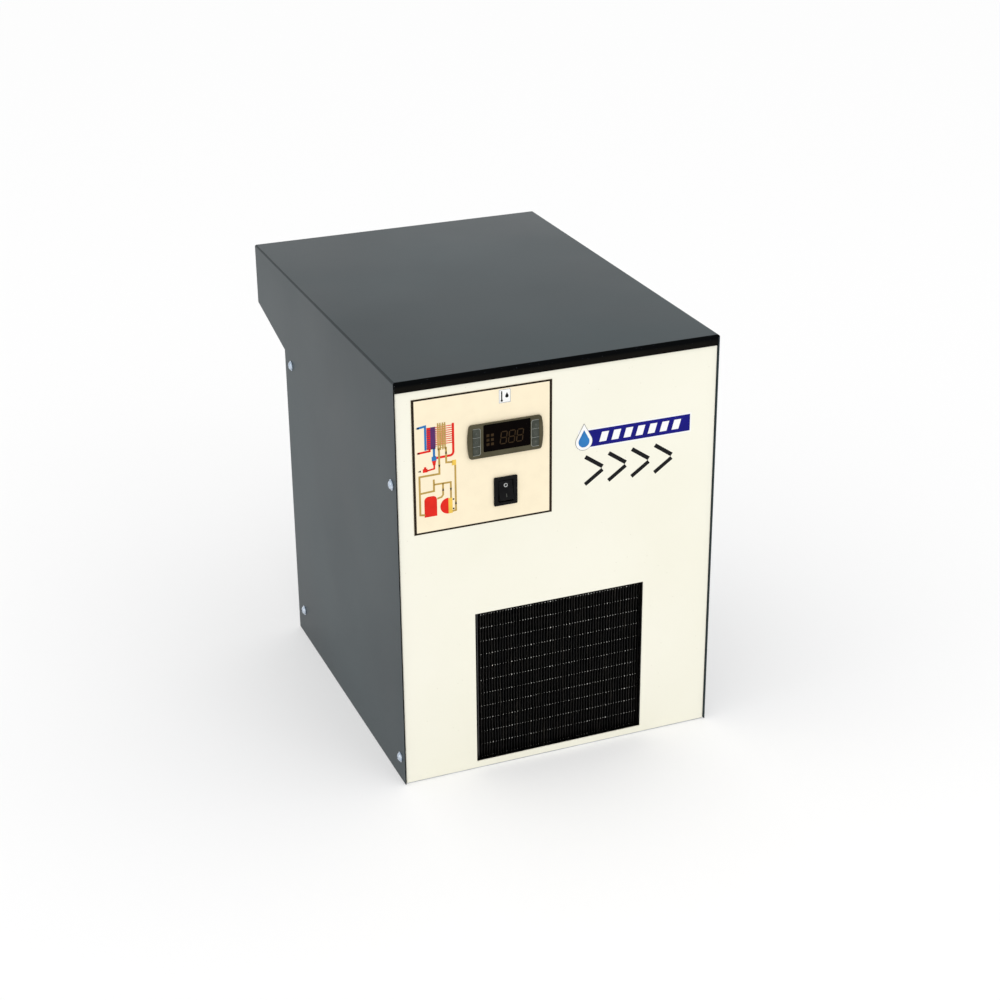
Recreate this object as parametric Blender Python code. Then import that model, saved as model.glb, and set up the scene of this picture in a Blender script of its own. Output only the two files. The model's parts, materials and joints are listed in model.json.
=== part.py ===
"""Refrigerated compressed-air dryer: a sheet-metal cabinet with its cold circuit inside.

Metres, +Z up. X is the width, Y runs from the front to the back, and the origin is in the
middle of the base. A depth is counted from the face of the cover's front lip towards the back.
"""
import math

import bmesh
import bpy
from mathutils import Matrix, Vector

# Cabinet
WIDTH = 0.370
DEPTH = 0.515
BODY_DEPTH = 0.403
HEIGHT = 0.475
SHEET = 0.0012
GAP = 0.0003
FLOOR_CLEARANCE = 0.001
LIP_HEIGHT = 0.012
HOOD_EDGE_HEIGHT = 0.074
HOOD_SLOPE_HEIGHT = 0.0255
HOOD_FOLD = 0.018
FRONT_RETURN = 0.028
REAR_RETURN = 0.036
PAN_FLANGE = 0.045
BEYOND = 0.1
CUT_REACH = 0.010

# Cover screws: shank and head radii, and where they sit from the front and from the floor
SCREW_RADIUS = 0.002
SCREW_LENGTH = 0.012
SCREW_RIM_SHARE = 0.4
SCREW_DOME_SHARE = 0.85
SCREW_DOME_WIDTH = 0.75
SCREW_HEAD_RADIUS = 0.006
SCREW_HEAD_HEIGHT = 0.0037
SCREW_CLEARANCE = 0.0005
CROSS_LENGTH = 0.0052
CROSS_WIDTH = 0.0012
CROSS_DEPTH = 0.0018
FRONT_SCREW_DEPTH = 0.014
REAR_SCREW_INSET = 0.026
LOW_SCREW_HEIGHT = 0.029
REAR_LOW_SCREW_HEIGHT = 0.036
HIGH_SCREW_DROP = 0.117
REAR_HIGH_SCREW_DROP = 0.111

# Condenser opening in the front panel
OPENING_WIDTH = 0.2008
OPENING_HEIGHT = 0.1856
OPENING_X = 0.0011
OPENING_BOTTOM = 0.0095

# Control label, controller and switch
OVERLAY_WIDTH = 0.1562
OVERLAY_HEIGHT = 0.152
OVERLAY_THICKNESS = 0.0003
OVERLAY_LEFT_MARGIN = 0.0188
OVERLAY_DROP = 0.0215
CONTROL_SHIFT_X = 0.0246
CONTROLLER_RISE = 0.0197
BEZEL_WIDTH = 0.0785
BEZEL_HEIGHT = 0.038
BEZEL_BULGE = 0.0032
BEZEL_THICKNESS = 0.0031
CUTOUT_WIDTH = 0.071
CUTOUT_HEIGHT = 0.029
CASE_DEPTH = 0.060
WINDOW_WIDTH = 0.0525
WINDOW_HEIGHT = 0.030
WINDOW_THICKNESS = 0.0012
WINDOW_SHIFT_X = 0.0012
WINDOW_TOP_MARGIN = 0.0014
KEY_WIDTH = 0.0074
KEY_HEIGHT = 0.0088
KEY_PITCH = 0.0098
KEY_OFFSET = 0.0334
KEY_THICKNESS = 0.0023
KEY_PROUD = 0.0004
SWITCH_DROP = 0.0414
SWITCH_WIDTH = 0.0265
SWITCH_HEIGHT = 0.0326
SWITCH_FRAME = 0.002
SWITCH_BODY_WIDTH = 0.0215
SWITCH_BODY_HEIGHT = 0.0292
SWITCH_BODY_DEPTH = 0.024
SWITCH_WELL_DEPTH = 0.008
ROCKER_WIDTH = 0.0160
ROCKER_RADIUS = 0.0119
ROCKER_WELL_CLEARANCE = 0.0005
ROCKER_PIVOT_DEPTH = 0.003
ROCKER_CREST = math.radians(28)
ROCKER_BACK = math.radians(8)
ROCKER_TILT = math.radians(12)
ROCKER_HOLLOW = 0.0012

# Condenser
TUBE_ROWS = 12
TUBE_PITCH = 0.0163
TUBE_RADIUS = 0.0035
FINS_WIDTH = 0.194
FIN_DEPTH = 0.030
FIN_GROOVES = 21
FIN_GROOVE_DEPTH = 0.008
CONDENSER_SHIFT = 0.0034
CONDENSER_CLEARANCE = 0.0048
CONDENSER_BOTTOM = 0.002
END_PLATE_SPACE = 0.002
TUBE_STUB = 0.010
TUBE_LEAD = 0.002
TUBE_BEND_SHARE = 0.999

# Fan
SHROUD_SPACE = 0.002
SHROUD_RADIUS = 0.088
SHROUD_RING_WALL = 0.002
SHROUD_RING_LENGTH = 0.014
FAN_RADIUS = 0.083
FAN_BLADES = 5
FAN_BLADE_WIDTH = 0.042
FAN_BLADE_THICKNESS = 0.002
FAN_BLADE_ROOT = 0.003
FAN_PITCH = math.radians(26)
FAN_HUB_RADIUS = 0.022
FAN_HUB_LENGTH = 0.018
FAN_PLANE_SPACE = 0.012
FAN_SHAFT_RADIUS = 0.004
FAN_SHAFT_LENGTH = 0.022
FAN_STRAP_SPACE = 0.004
FAN_STRAP_WIDTH = 0.022
MOTOR_RADIUS = 0.038
MOTOR_LENGTH = 0.050
MOTOR_SHOULDER_SHARE = 0.15
MOTOR_NOSE_SHARE = 0.7

# Compressor
COMPRESSOR_RADIUS = 0.072
COMPRESSOR_WALL = 0.003
SHELL_CORNER = 0.020
SHELL_FLAT_SHARE = 0.75
SHELL_FLOOR_EXTRA = 0.001
COMPRESSOR_WALL_SPACE = 0.0208
COMPRESSOR_REAR_SPACE = 0.046
COMPRESSOR_BOTTOM = 0.0105
COMPRESSOR_SEAM = 0.105
COMPRESSOR_TOP = 0.190
COMPRESSOR_RIM = 0.004
DOME_DROP = 0.028
DOME_SHOULDER_DROP = 0.010
DOME_SHOULDER_SHARE = 0.86
DOME_SHOULDER_INNER_SHARE = 0.84
DOME_CROWN_SHARE = 0.5
FOOT_THICKNESS = 0.003
FOOT_LENGTH = 0.172
FOOT_WIDTH = 0.116
FOOT_SPACING_X = 0.150
FOOT_SPACING_Y = 0.094
GROMMET_WAIST = 0.0065
GROMMET_FLANGE = 0.0105
GROMMET_HEIGHT = 0.018
GROMMET_COLLAR_SHARE = 0.85
GROMMET_TIP_SHARE = 0.7
STATOR_RADIUS = 0.055
STATOR_BOTTOM = 0.030
ROTOR_SPACE_DEPTH = 0.022
ROTOR_END_SPACE = 0.002
PUMP_BODY_SHARE = 0.75
CRANK_TAIL = 0.004
CRANK_WEB = 0.006
CRANK_PIN_SHARE = 0.7
CRANK_PIN_START = 0.003
CRANK_PIN_END = 0.022
STATOR_TOP = 0.100
ROTOR_RADIUS = 0.0295
ROTOR_CLEARANCE = 0.0009
CRANK_RADIUS = 0.008
CRANK_THROW = 0.006
PUMP_TOP = 0.125
TERMINAL_WIDTH = 0.044
TERMINAL_HEIGHT = 0.056
TERMINAL_DEPTH = 0.020

# Heat exchanger, its insulation and its stand
EXCHANGER_WIDTH = 0.094
EXCHANGER_DEPTH = 0.140
STAND_INSET = 0.010
SUCTION_SIDE = 0.015
SUCTION_BELOW_TOP = 0.090
CAPILLARY_SIDE = 0.030
CAPILLARY_BELOW_TOP = 0.140
EXCHANGER_BOTTOM = 0.080
EXCHANGER_TOP_SPACE = 0.035
EXCHANGER_WALL = 0.006
EXCHANGER_X = 0.085
EXCHANGER_REAR_SPACE = 0.048
INSULATION = 0.012

# Air connections, drain and power inlet
PORT_SPACING = 0.060
PORT_DROP = 0.050
PIPE_RADIUS = 0.010
PIPE_BORE = 0.0075
PORT_HEX_RADIUS = 0.0165
PORT_LENGTH = 0.030
PORT_BORE = 0.0095
PORT_BORE_DEPTH = 0.016
DRAIN_SHIFT = 0.025
DRAIN_HEIGHT = 0.033
DRAIN_BLOCK = 0.026
DRAIN_NIPPLE_RADIUS = 0.005
STEM_RADIUS = 0.0055
STEM_BORE = 0.0044
STEM_LENGTH = 0.036
PLUNGER_RADIUS = 0.0040
PLUNGER_LENGTH = 0.038
COIL_SIZE = 0.032
COIL_LENGTH = 0.030
COIL_SPACE = 0.002
STEM_ROOT = 0.002
HOSE_RADIUS = 0.004
HOSE_SHIFT = 0.018
FITTING_NECK = 0.006
FITTING_HEX_RADIUS = 0.011
FITTING_HEX_LENGTH = 0.006
FITTING_LENGTH = 0.028
FITTING_TAIL = 0.012
FITTING_BORE = 0.0035
INLET_X = -0.120
INLET_Z = 0.300
INLET_FLANGE_WIDTH = 0.050
INLET_FLANGE_HEIGHT = 0.028
INLET_FLANGE_THICKNESS = 0.003
PIN_SPACING = 0.007
PIN_STAGGER = 0.0015
PIN_WIDTH = 0.002
PIN_HEIGHT = 0.004
PIN_ROOT = 0.001
PIN_RECESS = 0.003
INLET_BODY_WIDTH = 0.029
INLET_BODY_HEIGHT = 0.0225
INLET_BODY_DEPTH = 0.024
INLET_CAVITY_WIDTH = 0.0245
INLET_CAVITY_HEIGHT = 0.018
INLET_CAVITY_DEPTH = 0.016

# Refrigerant lines
LINE_RADIUS = 0.004
SUCTION_RADIUS = 0.005
CAPILLARY_RADIUS = 0.0015
LINE_BEND = 0.012
TIGHT_BEND_SHARE = 0.7
BYPASS_BEND_SHARE = 0.8
BYPASS_RADIUS_SHARE = 0.75
LINE_FROM_WALL = 0.0128
DISCHARGE_RISE = 0.0274
DISCHARGE_PORT_DROP = 0.020
SUCTION_PORT_RISE = 0.035
SUCTION_COLUMN_SPACE = 0.024
SUCTION_FORWARD = 0.036
BYPASS_REACH = 0.045
BYPASS_DEPTH = 0.150
DRIER_RADIUS = 0.0115
DRIER_BOTTOM = 0.045
DRIER_LENGTH = 0.105
DRIER_CONE = 0.014
DRIER_DEPTH = 0.085
DRIER_SHIFT = 0.030
COIL_TURNS = 3.5
COIL_RADIUS = 0.022
COIL_PITCH = 0.0045
COIL_RISE = 0.015
CAPILLARY_BACK = 0.030
CAPILLARY_LEAD = 0.0005
VALVE_RISE = 0.065
VALVE_LENGTH = 0.050
VALVE_RADIUS = 0.009
VALVE_END_SHARE = 0.25
BONNET_SHARE = 0.8
BONNET_HEIGHT = 0.030

# Exhaust louvres in the rear panel
LOUVRE_COLUMNS = 2
LOUVRE_ROWS = 8
LOUVRE_WIDTH = 0.056
LOUVRE_HEIGHT = 0.006
LOUVRE_PITCH_X = 0.068
LOUVRE_PITCH_Z = 0.020
LOUVRE_X = -0.085
LOUVRE_BOTTOM = 0.070

# Values worked out from the sizes above
ROCKER_TIP = ROCKER_RADIUS * math.sin(ROCKER_CREST + ROCKER_TILT) - ROCKER_PIVOT_DEPTH
FRONT_Y = (ROCKER_TIP - DEPTH) / 2
PANEL_FACE = SHEET + GAP
PANEL_BACK = PANEL_FACE + SHEET
PANEL_HALF = WIDTH / 2 - SHEET - GAP
PANEL_TOP = HEIGHT - SHEET - GAP
PAN_HALF = PANEL_HALF - SHEET - GAP
REAR_INNER = BODY_DEPTH - SHEET
OVERLAY_FRONT = PANEL_FACE - GAP - OVERLAY_THICKNESS
OVERLAY_X = OVERLAY_LEFT_MARGIN - WIDTH / 2 + OVERLAY_WIDTH / 2
OVERLAY_Z = HEIGHT - OVERLAY_DROP - OVERLAY_HEIGHT / 2
CONTROL_X = OVERLAY_X + CONTROL_SHIFT_X
CONTROLLER_Z = OVERLAY_Z + CONTROLLER_RISE
SWITCH_Z = OVERLAY_Z - SWITCH_DROP
BEZEL_BACK = OVERLAY_FRONT - GAP
BEZEL_FRONT = BEZEL_BACK - BEZEL_THICKNESS
WINDOW_X = CONTROL_X + WINDOW_SHIFT_X
WINDOW_Z = CONTROLLER_Z + BEZEL_HEIGHT / 2 - WINDOW_TOP_MARGIN - WINDOW_HEIGHT / 2
SWITCH_FRONT = BEZEL_BACK - SWITCH_FRAME
CONDENSER_X = OPENING_X + CONDENSER_SHIFT
CONDENSER_FRONT = PANEL_BACK + CONDENSER_CLEARANCE
CONDENSER_BACK = CONDENSER_FRONT + FIN_DEPTH
CONDENSER_MIDDLE = CONDENSER_FRONT + FIN_DEPTH / 2
CONDENSER_TOP = CONDENSER_BOTTOM + TUBE_ROWS * TUBE_PITCH
END_PLATE_OFFSET = FINS_WIDTH / 2 + END_PLATE_SPACE
TUBE_END_X = CONDENSER_X - END_PLATE_OFFSET - SHEET - TUBE_STUB
LOWEST_TUBE = CONDENSER_BOTTOM + TUBE_PITCH / 2
HIGHEST_TUBE = CONDENSER_TOP - TUBE_PITCH / 2
FAN_Z = (CONDENSER_BOTTOM + CONDENSER_TOP) / 2
SHROUD_FRONT = CONDENSER_BACK + SHROUD_SPACE
SHROUD_BACK = SHROUD_FRONT + SHEET
FAN_PLANE = SHROUD_BACK + FAN_PLANE_SPACE
FAN_HUB_BACK = FAN_PLANE + FAN_HUB_LENGTH / 2
STRAP_FRONT = FAN_HUB_BACK + FAN_STRAP_SPACE
MOTOR_FRONT = STRAP_FRONT + SHEET + GAP
COMPRESSOR_X = -PAN_HALF + SHEET + COMPRESSOR_WALL_SPACE + COMPRESSOR_RADIUS
COMPRESSOR_DEPTH = REAR_INNER - COMPRESSOR_REAR_SPACE - COMPRESSOR_RADIUS
EXCHANGER_BACK = REAR_INNER - EXCHANGER_REAR_SPACE
EXCHANGER_FRONT = EXCHANGER_BACK - EXCHANGER_DEPTH
EXCHANGER_MIDDLE = (EXCHANGER_BACK + EXCHANGER_FRONT) / 2
EXCHANGER_TOP = HEIGHT - EXCHANGER_TOP_SPACE
PORT_Z = HEIGHT - PORT_DROP
DRAIN_X = EXCHANGER_X + DRAIN_SHIFT
DRAIN_FITTING_X = DRAIN_X + HOSE_SHIFT
DRAIN_BLOCK_BACK = EXCHANGER_MIDDLE + DRAIN_BLOCK / 2
DRAIN_BLOCK_FRONT = EXCHANGER_MIDDLE - DRAIN_BLOCK / 2
LINE_X = -PAN_HALF + SHEET + LINE_FROM_WALL
DRIER_X = LINE_X + DRIER_SHIFT
DISCHARGE_HEIGHT = CONDENSER_TOP + DISCHARGE_RISE
VALVE_HEIGHT = DISCHARGE_HEIGHT + VALVE_RISE


def remove_everything():
    """Empty the file before anything is modelled."""
    for thing in list(bpy.data.objects):
        bpy.data.objects.remove(thing)


# Modelling helpers ---------------------------------------------------------------------------

def place(x, depth, z):
    """A point from its width, its depth behind the front lip and its height."""
    return Vector((x, FRONT_Y + depth, z))


def polar(angle, radius):
    """A point on a circle around zero."""
    return radius * math.cos(angle), radius * math.sin(angle)


AXIS_FRAMES = {
    "X": Matrix(((0, 0, 1), (1, 0, 0), (0, 1, 0))).to_4x4(),
    "Y": Matrix(((1, 0, 0), (0, 0, 1), (0, 1, 0))).to_4x4(),
    "Z": Matrix.Identity(4),
}


def new_box(low, high):
    """A block between two corners, each given as width, depth and height."""
    mesh = bmesh.new()
    bmesh.ops.create_cube(mesh, size=1)
    corner = place(*low)
    size = place(*high) - corner
    bmesh.ops.scale(mesh, vec=size, verts=mesh.verts)
    bmesh.ops.translate(mesh, vec=corner + size / 2, verts=mesh.verts)
    return mesh


def new_prism(outline, axis, start, end):
    """A flat outline pushed along an axis.

    The outline holds (Y, Z) for X, (X, Z) for Y and (X, Y) for Z, around the centre
    that the caller moves it to.
    """
    mesh = bmesh.new()
    corners = [mesh.verts.new((across, up, start)) for across, up in outline]
    face = mesh.faces.new(corners)
    pushed = bmesh.ops.extrude_face_region(mesh, geom=[face])["geom"]
    moved = [part for part in pushed if isinstance(part, bmesh.types.BMVert)]
    bmesh.ops.translate(mesh, vec=(0, 0, end - start), verts=moved)
    bmesh.ops.transform(mesh, matrix=AXIS_FRAMES[axis], verts=mesh.verts)
    bmesh.ops.recalc_face_normals(mesh, faces=mesh.faces)
    return mesh


def new_turned(profile, axis, centre, segments=24):
    """A profile of (radius, distance along the axis), turned about the axis through centre."""
    mesh = bmesh.new()
    points = [mesh.verts.new((radius, 0, along)) for radius, along in profile]
    edges = [mesh.edges.new(pair) for pair in zip(points, points[1:] + points[:1])]
    bmesh.ops.spin(
        mesh, geom=points + edges, axis=(0, 0, 1), cent=(0, 0, 0),
        angle=math.tau, steps=segments, use_merge=True)
    bmesh.ops.remove_doubles(mesh, verts=mesh.verts, dist=1e-6)
    loose = [edge for edge in mesh.edges if not edge.link_faces]
    bmesh.ops.delete(mesh, geom=loose, context="EDGES")
    bmesh.ops.transform(mesh, matrix=AXIS_FRAMES[axis], verts=mesh.verts)
    bmesh.ops.translate(mesh, vec=centre, verts=mesh.verts)
    bmesh.ops.recalc_face_normals(mesh, faces=mesh.faces)
    return mesh


def new_rod(axis, centre, radius, start, end, segments=16):
    """A round bar along an axis."""
    profile = [(0, start), (radius, start), (radius, end), (0, end)]
    return new_turned(profile, axis, centre, segments)


def merged(meshes):
    """Several separate shapes in one mesh, for use as one cutter."""
    whole = bmesh.new()
    for mesh in meshes:
        holder = bpy.data.meshes.new("shape")
        mesh.to_mesh(holder)
        whole.from_mesh(holder)
        mesh.free()
        bpy.data.meshes.remove(holder)
    return whole


def new_object(name, mesh):
    """An object in the scene, made from a mesh in world places."""
    data = bpy.data.meshes.new(name)
    mesh.to_mesh(data)
    mesh.free()
    thing = bpy.data.objects.new(name, data)
    bpy.context.scene.collection.objects.link(thing)
    return thing


def combine(thing, operation, shape):
    """Cut a shape out of an object, or join it on, and keep only the result."""
    tool = new_object("tool", shape)
    boolean = thing.modifiers.new(operation, "BOOLEAN")
    boolean.operation = operation
    boolean.solver = "EXACT"
    boolean.object = tool
    graph = bpy.context.evaluated_depsgraph_get()
    result = bpy.data.meshes.new_from_object(thing.evaluated_get(graph))
    thing.modifiers.clear()
    thing.data = result
    bpy.data.objects.remove(tool)


def cut(thing, *shapes):
    """Take shapes that don't touch each other out of an object."""
    combine(thing, "DIFFERENCE", merged(shapes))


def add(thing, *shapes):
    """Join shapes that don't touch each other onto an object."""
    combine(thing, "UNION", merged(shapes))


def finish(thing, colour, roughness, metallic=0.0, origin=None, smooth=False):
    """Give an object its material, and its origin where it turns or slides about one."""
    material = bpy.data.materials.new(thing.name)
    material.use_nodes = True
    shader = material.node_tree.nodes["Principled BSDF"]
    shader.inputs["Base Color"].default_value = (*colour, 1)
    shader.inputs["Roughness"].default_value = roughness
    shader.inputs["Metallic"].default_value = metallic
    thing.data.materials.clear()
    thing.data.materials.append(material)
    if smooth:
        thing.data.shade_smooth()
        thing.data.set_sharp_from_angle(angle=math.radians(35))
    if origin is not None:
        thing.data.transform(Matrix.Translation(-origin))
        thing.location = origin
    return thing


def rounded_route(corners, bend, steps=4):
    """The points of a pipe's centre line: straight runs with an arc at each corner."""
    points = [corners[0]]
    for before, corner, after in zip(corners, corners[1:], corners[2:]):
        into = (corner - before).normalized()
        out = (after - corner).normalized()
        half = into.angle(out) / 2
        reach = bend * math.tan(half)
        centre = corner + (out - into).normalized() * (bend / math.cos(half))
        first = corner - into * reach - centre
        turn_axis = into.cross(out).normalized()
        for step in range(steps + 1):
            turn = Matrix.Rotation(2 * half * step / steps, 3, turn_axis)
            points.append(centre + turn @ first)
    points.append(corners[-1])
    return points


def new_pipe(name, route, radius, sides=8):
    """A pipe with closed ends along a route."""
    curve = bpy.data.curves.new(name, "CURVE")
    curve.dimensions = "3D"
    curve.bevel_depth = radius
    curve.bevel_resolution = sides // 2 - 2
    curve.use_fill_caps = True
    spline = curve.splines.new("POLY")
    spline.points.add(len(route) - 1)
    for spot, point in zip(spline.points, route):
        spot.co = (*point, 1)
    pipe = bpy.data.objects.new(name, curve)
    bpy.context.scene.collection.objects.link(pipe)
    return pipe


# Finishes ------------------------------------------------------------------------------------

CHARCOAL = ((0.060, 0.066, 0.068), 0.45)
CREAM = ((0.900, 0.880, 0.760), 0.40)
GALVANISED = ((0.560, 0.570, 0.580), 0.40, 0.9)
ZINC = ((0.600, 0.640, 0.700), 0.28, 1.0)
COPPER = ((0.780, 0.360, 0.210), 0.30, 1.0)
BRASS = ((0.780, 0.600, 0.300), 0.30, 1.0)
ALUMINIUM = ((0.750, 0.760, 0.770), 0.35, 1.0)
BLACK_PAINT = ((0.012, 0.012, 0.013), 0.40)
BLACK_PLASTIC = ((0.015, 0.015, 0.016), 0.35)
LABEL_FILM = ((0.930, 0.860, 0.700), 0.35)
DARK_WINDOW = ((0.010, 0.009, 0.008), 0.08)
KEY_PLASTIC = ((0.110, 0.110, 0.090), 0.45)
CAST_IRON = ((0.350, 0.350, 0.360), 0.50, 0.8)
BRIGHT_STEEL = ((0.500, 0.500, 0.520), 0.35, 1.0)
HOSE_PLASTIC = ((0.050, 0.080, 0.150), 0.40)
OLIVE_PLASTIC = ((0.120, 0.110, 0.080), 0.40)
RUBBER = ((0.020, 0.020, 0.020), 0.80)
FOAM = ((0.025, 0.025, 0.027), 0.90)


# Cabinet -------------------------------------------------------------------------------------

def screw_places():
    """Depth and height of the four cover screws on each side, with their names."""
    return {
        "front_high": (FRONT_SCREW_DEPTH, HEIGHT - HIGH_SCREW_DROP),
        "front_low": (FRONT_SCREW_DEPTH, LOW_SCREW_HEIGHT),
        "rear_high": (BODY_DEPTH - REAR_SCREW_INSET, HEIGHT - REAR_HIGH_SCREW_DROP),
        "rear_low": (BODY_DEPTH - REAR_SCREW_INSET, REAR_LOW_SCREW_HEIGHT),
    }


def screw_holes(names):
    """Cutters for the cover screws with these names, right through both side walls."""
    radius = SCREW_RADIUS + SCREW_CLEARANCE
    places = screw_places()
    return [
        new_rod("X", place(0, *places[name]), radius, -WIDTH, WIDTH, segments=12)
        for name in names
    ]


def make_cover():
    """Sides and top in one folded sheet, with a front lip and a hood over the rear."""
    hood_edge = HEIGHT - HOOD_EDGE_HEIGHT
    hood_corner = hood_edge - HOOD_SLOPE_HEIGHT
    side = [
        (FRONT_Y, FLOOR_CLEARANCE),
        (FRONT_Y + BODY_DEPTH, FLOOR_CLEARANCE),
        (FRONT_Y + BODY_DEPTH, hood_corner),
        (FRONT_Y + DEPTH, hood_edge),
        (FRONT_Y + DEPTH, HEIGHT),
        (FRONT_Y, HEIGHT),
    ]
    hollow = [
        (FRONT_Y - BEYOND, -BEYOND),
        (FRONT_Y + DEPTH + BEYOND, -BEYOND),
        (FRONT_Y + DEPTH + BEYOND, HEIGHT - HOOD_FOLD),
        (FRONT_Y + DEPTH - SHEET, HEIGHT - HOOD_FOLD),
        (FRONT_Y + DEPTH - SHEET, HEIGHT - SHEET),
        (FRONT_Y + SHEET, HEIGHT - SHEET),
        (FRONT_Y + SHEET, HEIGHT - LIP_HEIGHT),
        (FRONT_Y - BEYOND, HEIGHT - LIP_HEIGHT),
    ]
    cover = new_object("cover", new_prism(side, "X", -WIDTH / 2, WIDTH / 2))
    inside = WIDTH / 2 - SHEET
    cut(cover, new_prism(hollow, "X", -inside, inside))
    cut(cover, *screw_holes(screw_places()))
    finish(cover, *CHARCOAL)


def controller_cutout(clearance=0.0):
    """Block through the front panel where the controller's case goes."""
    half_x = CUTOUT_WIDTH / 2 + clearance
    half_z = CUTOUT_HEIGHT / 2 + clearance
    return new_box(
        (CONTROL_X - half_x, -BEYOND, CONTROLLER_Z - half_z),
        (CONTROL_X + half_x, BEYOND, CONTROLLER_Z + half_z))


def switch_cutout():
    """Block through the front panel where the switch's body goes."""
    half_x = SWITCH_BODY_WIDTH / 2 + GAP
    half_z = SWITCH_BODY_HEIGHT / 2 + GAP
    return new_box(
        (CONTROL_X - half_x, -BEYOND, SWITCH_Z - half_z),
        (CONTROL_X + half_x, BEYOND, SWITCH_Z + half_z))


def make_front_panel():
    """Front tray with the condenser opening and the controller and switch cut-outs."""
    back = PANEL_FACE + FRONT_RETURN
    panel = new_object("front_panel", new_box(
        (-PANEL_HALF, PANEL_FACE, FLOOR_CLEARANCE), (PANEL_HALF, back, PANEL_TOP)))
    inside = PANEL_HALF - SHEET
    cut(panel, new_box(
        (-inside, PANEL_BACK, -BEYOND), (inside, back + BEYOND, PANEL_TOP - SHEET)))
    opening = new_box(
        (OPENING_X - OPENING_WIDTH / 2, -BEYOND, OPENING_BOTTOM),
        (OPENING_X + OPENING_WIDTH / 2, BEYOND, OPENING_BOTTOM + OPENING_HEIGHT))
    cut(panel, opening, controller_cutout(), switch_cutout())
    cut(panel, *screw_holes(["front_high", "front_low"]))
    finish(panel, *CREAM)


def louvre_slots():
    """Cutters for the exhaust slots, in even columns and rows."""
    slots = []
    for column in range(LOUVRE_COLUMNS):
        x = LOUVRE_X + (column - (LOUVRE_COLUMNS - 1) / 2) * LOUVRE_PITCH_X
        for row in range(LOUVRE_ROWS):
            z = LOUVRE_BOTTOM + row * LOUVRE_PITCH_Z
            slots.append(new_box(
                (x - LOUVRE_WIDTH / 2, REAR_INNER - BEYOND / 4, z),
                (x + LOUVRE_WIDTH / 2, BODY_DEPTH + BEYOND / 4, z + LOUVRE_HEIGHT)))
    return slots


def port_places():
    """Width of the air inlet's and the air outlet's centre."""
    return {
        "air_inlet_port": EXCHANGER_X - PORT_SPACING / 2,
        "air_outlet_port": EXCHANGER_X + PORT_SPACING / 2,
    }


def make_rear_panel():
    """Rear tray with exhaust slots and holes for the air, drain and power connections."""
    front = BODY_DEPTH - REAR_RETURN
    panel = new_object("rear_panel", new_box(
        (-PANEL_HALF, front, FLOOR_CLEARANCE), (PANEL_HALF, BODY_DEPTH, PANEL_TOP)))
    inside = PANEL_HALF - SHEET
    cut(panel, new_box(
        (-inside, front - BEYOND, -BEYOND), (inside, REAR_INNER, PANEL_TOP - SHEET)))
    cut(panel, *louvre_slots())
    half_x = INLET_BODY_WIDTH / 2 + GAP
    half_z = INLET_BODY_HEIGHT / 2 + GAP
    holes = [new_box(
        (INLET_X - half_x, REAR_INNER - BEYOND, INLET_Z - half_z),
        (INLET_X + half_x, BODY_DEPTH + BEYOND, INLET_Z + half_z))]
    for x in port_places().values():
        centre = place(x, BODY_DEPTH, PORT_Z)
        holes.append(new_rod("Y", centre, PIPE_RADIUS + 2 * GAP, -BEYOND, BEYOND, 24))
    centre = place(DRAIN_FITTING_X, BODY_DEPTH, DRAIN_HEIGHT)
    holes.append(new_rod("Y", centre, FITTING_NECK + 2 * GAP, -BEYOND, BEYOND, 16))
    cut(panel, *holes)
    cut(panel, *screw_holes(["rear_high", "rear_low"]))
    finish(panel, *CHARCOAL)


def make_base_pan():
    """Floor tray that the cold circuit stands on and the low screws hold."""
    front = PANEL_BACK + GAP
    back = REAR_INNER - GAP
    pan = new_object("base_pan", new_box((-PAN_HALF, front, 0), (PAN_HALF, back, PAN_FLANGE)))
    inside = PAN_HALF - SHEET
    cut(pan, new_box(
        (-inside, front + SHEET, SHEET), (inside, back - SHEET, PAN_FLANGE + BEYOND)))
    front_flange = OPENING_BOTTOM - FLOOR_CLEARANCE
    rear_flange = DRAIN_HEIGHT - FITTING_HEX_RADIUS - FLOOR_CLEARANCE
    cut(pan,
        new_box((-inside, -BEYOND, front_flange), (inside, front + 2 * SHEET, BEYOND)),
        new_box((-inside, back - 2 * SHEET, rear_flange), (inside, back + BEYOND, BEYOND)))
    cut(pan, *screw_holes(["front_low", "rear_low"]))
    finish(pan, *GALVANISED)


def make_cover_screws():
    """Cross-head screws through both sides of the cover, all sharing one mesh."""
    crown = SCREW_HEAD_HEIGHT
    profile = [
        (0, -SCREW_LENGTH), (SCREW_RADIUS, -SCREW_LENGTH), (SCREW_RADIUS, 0),
        (SCREW_HEAD_RADIUS, 0), (SCREW_HEAD_RADIUS, crown * SCREW_RIM_SHARE),
        (SCREW_HEAD_RADIUS * SCREW_DOME_WIDTH, crown * SCREW_DOME_SHARE), (0, crown),
    ]
    model = new_object("screw_model", new_turned(profile, "X", (0, 0, 0), 12))
    half = CROSS_LENGTH / 2
    width = CROSS_WIDTH / 2
    deep = crown - CROSS_DEPTH
    cross = [
        (half, width), (width, width), (width, half), (-width, half), (-width, width),
        (-half, width), (-half, -width), (-width, -width), (-width, -half),
        (width, -half), (width, -width), (half, -width),
    ]
    cut(model, new_prism(cross, "X", deep, crown + SCREW_HEAD_HEIGHT))
    finish(model, *ZINC)
    for name, (depth, z) in screw_places().items():
        for side, sign in (("left", -1), ("right", 1)):
            screw = bpy.data.objects.new(f"cover_screw_{side}_{name}", model.data)
            screw.location = place(sign * (WIDTH / 2 + GAP), depth, z)
            screw.rotation_euler.z = 0 if sign > 0 else math.pi
            bpy.context.scene.collection.objects.link(screw)
    bpy.data.objects.remove(model)


# Controls ------------------------------------------------------------------------------------

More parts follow.
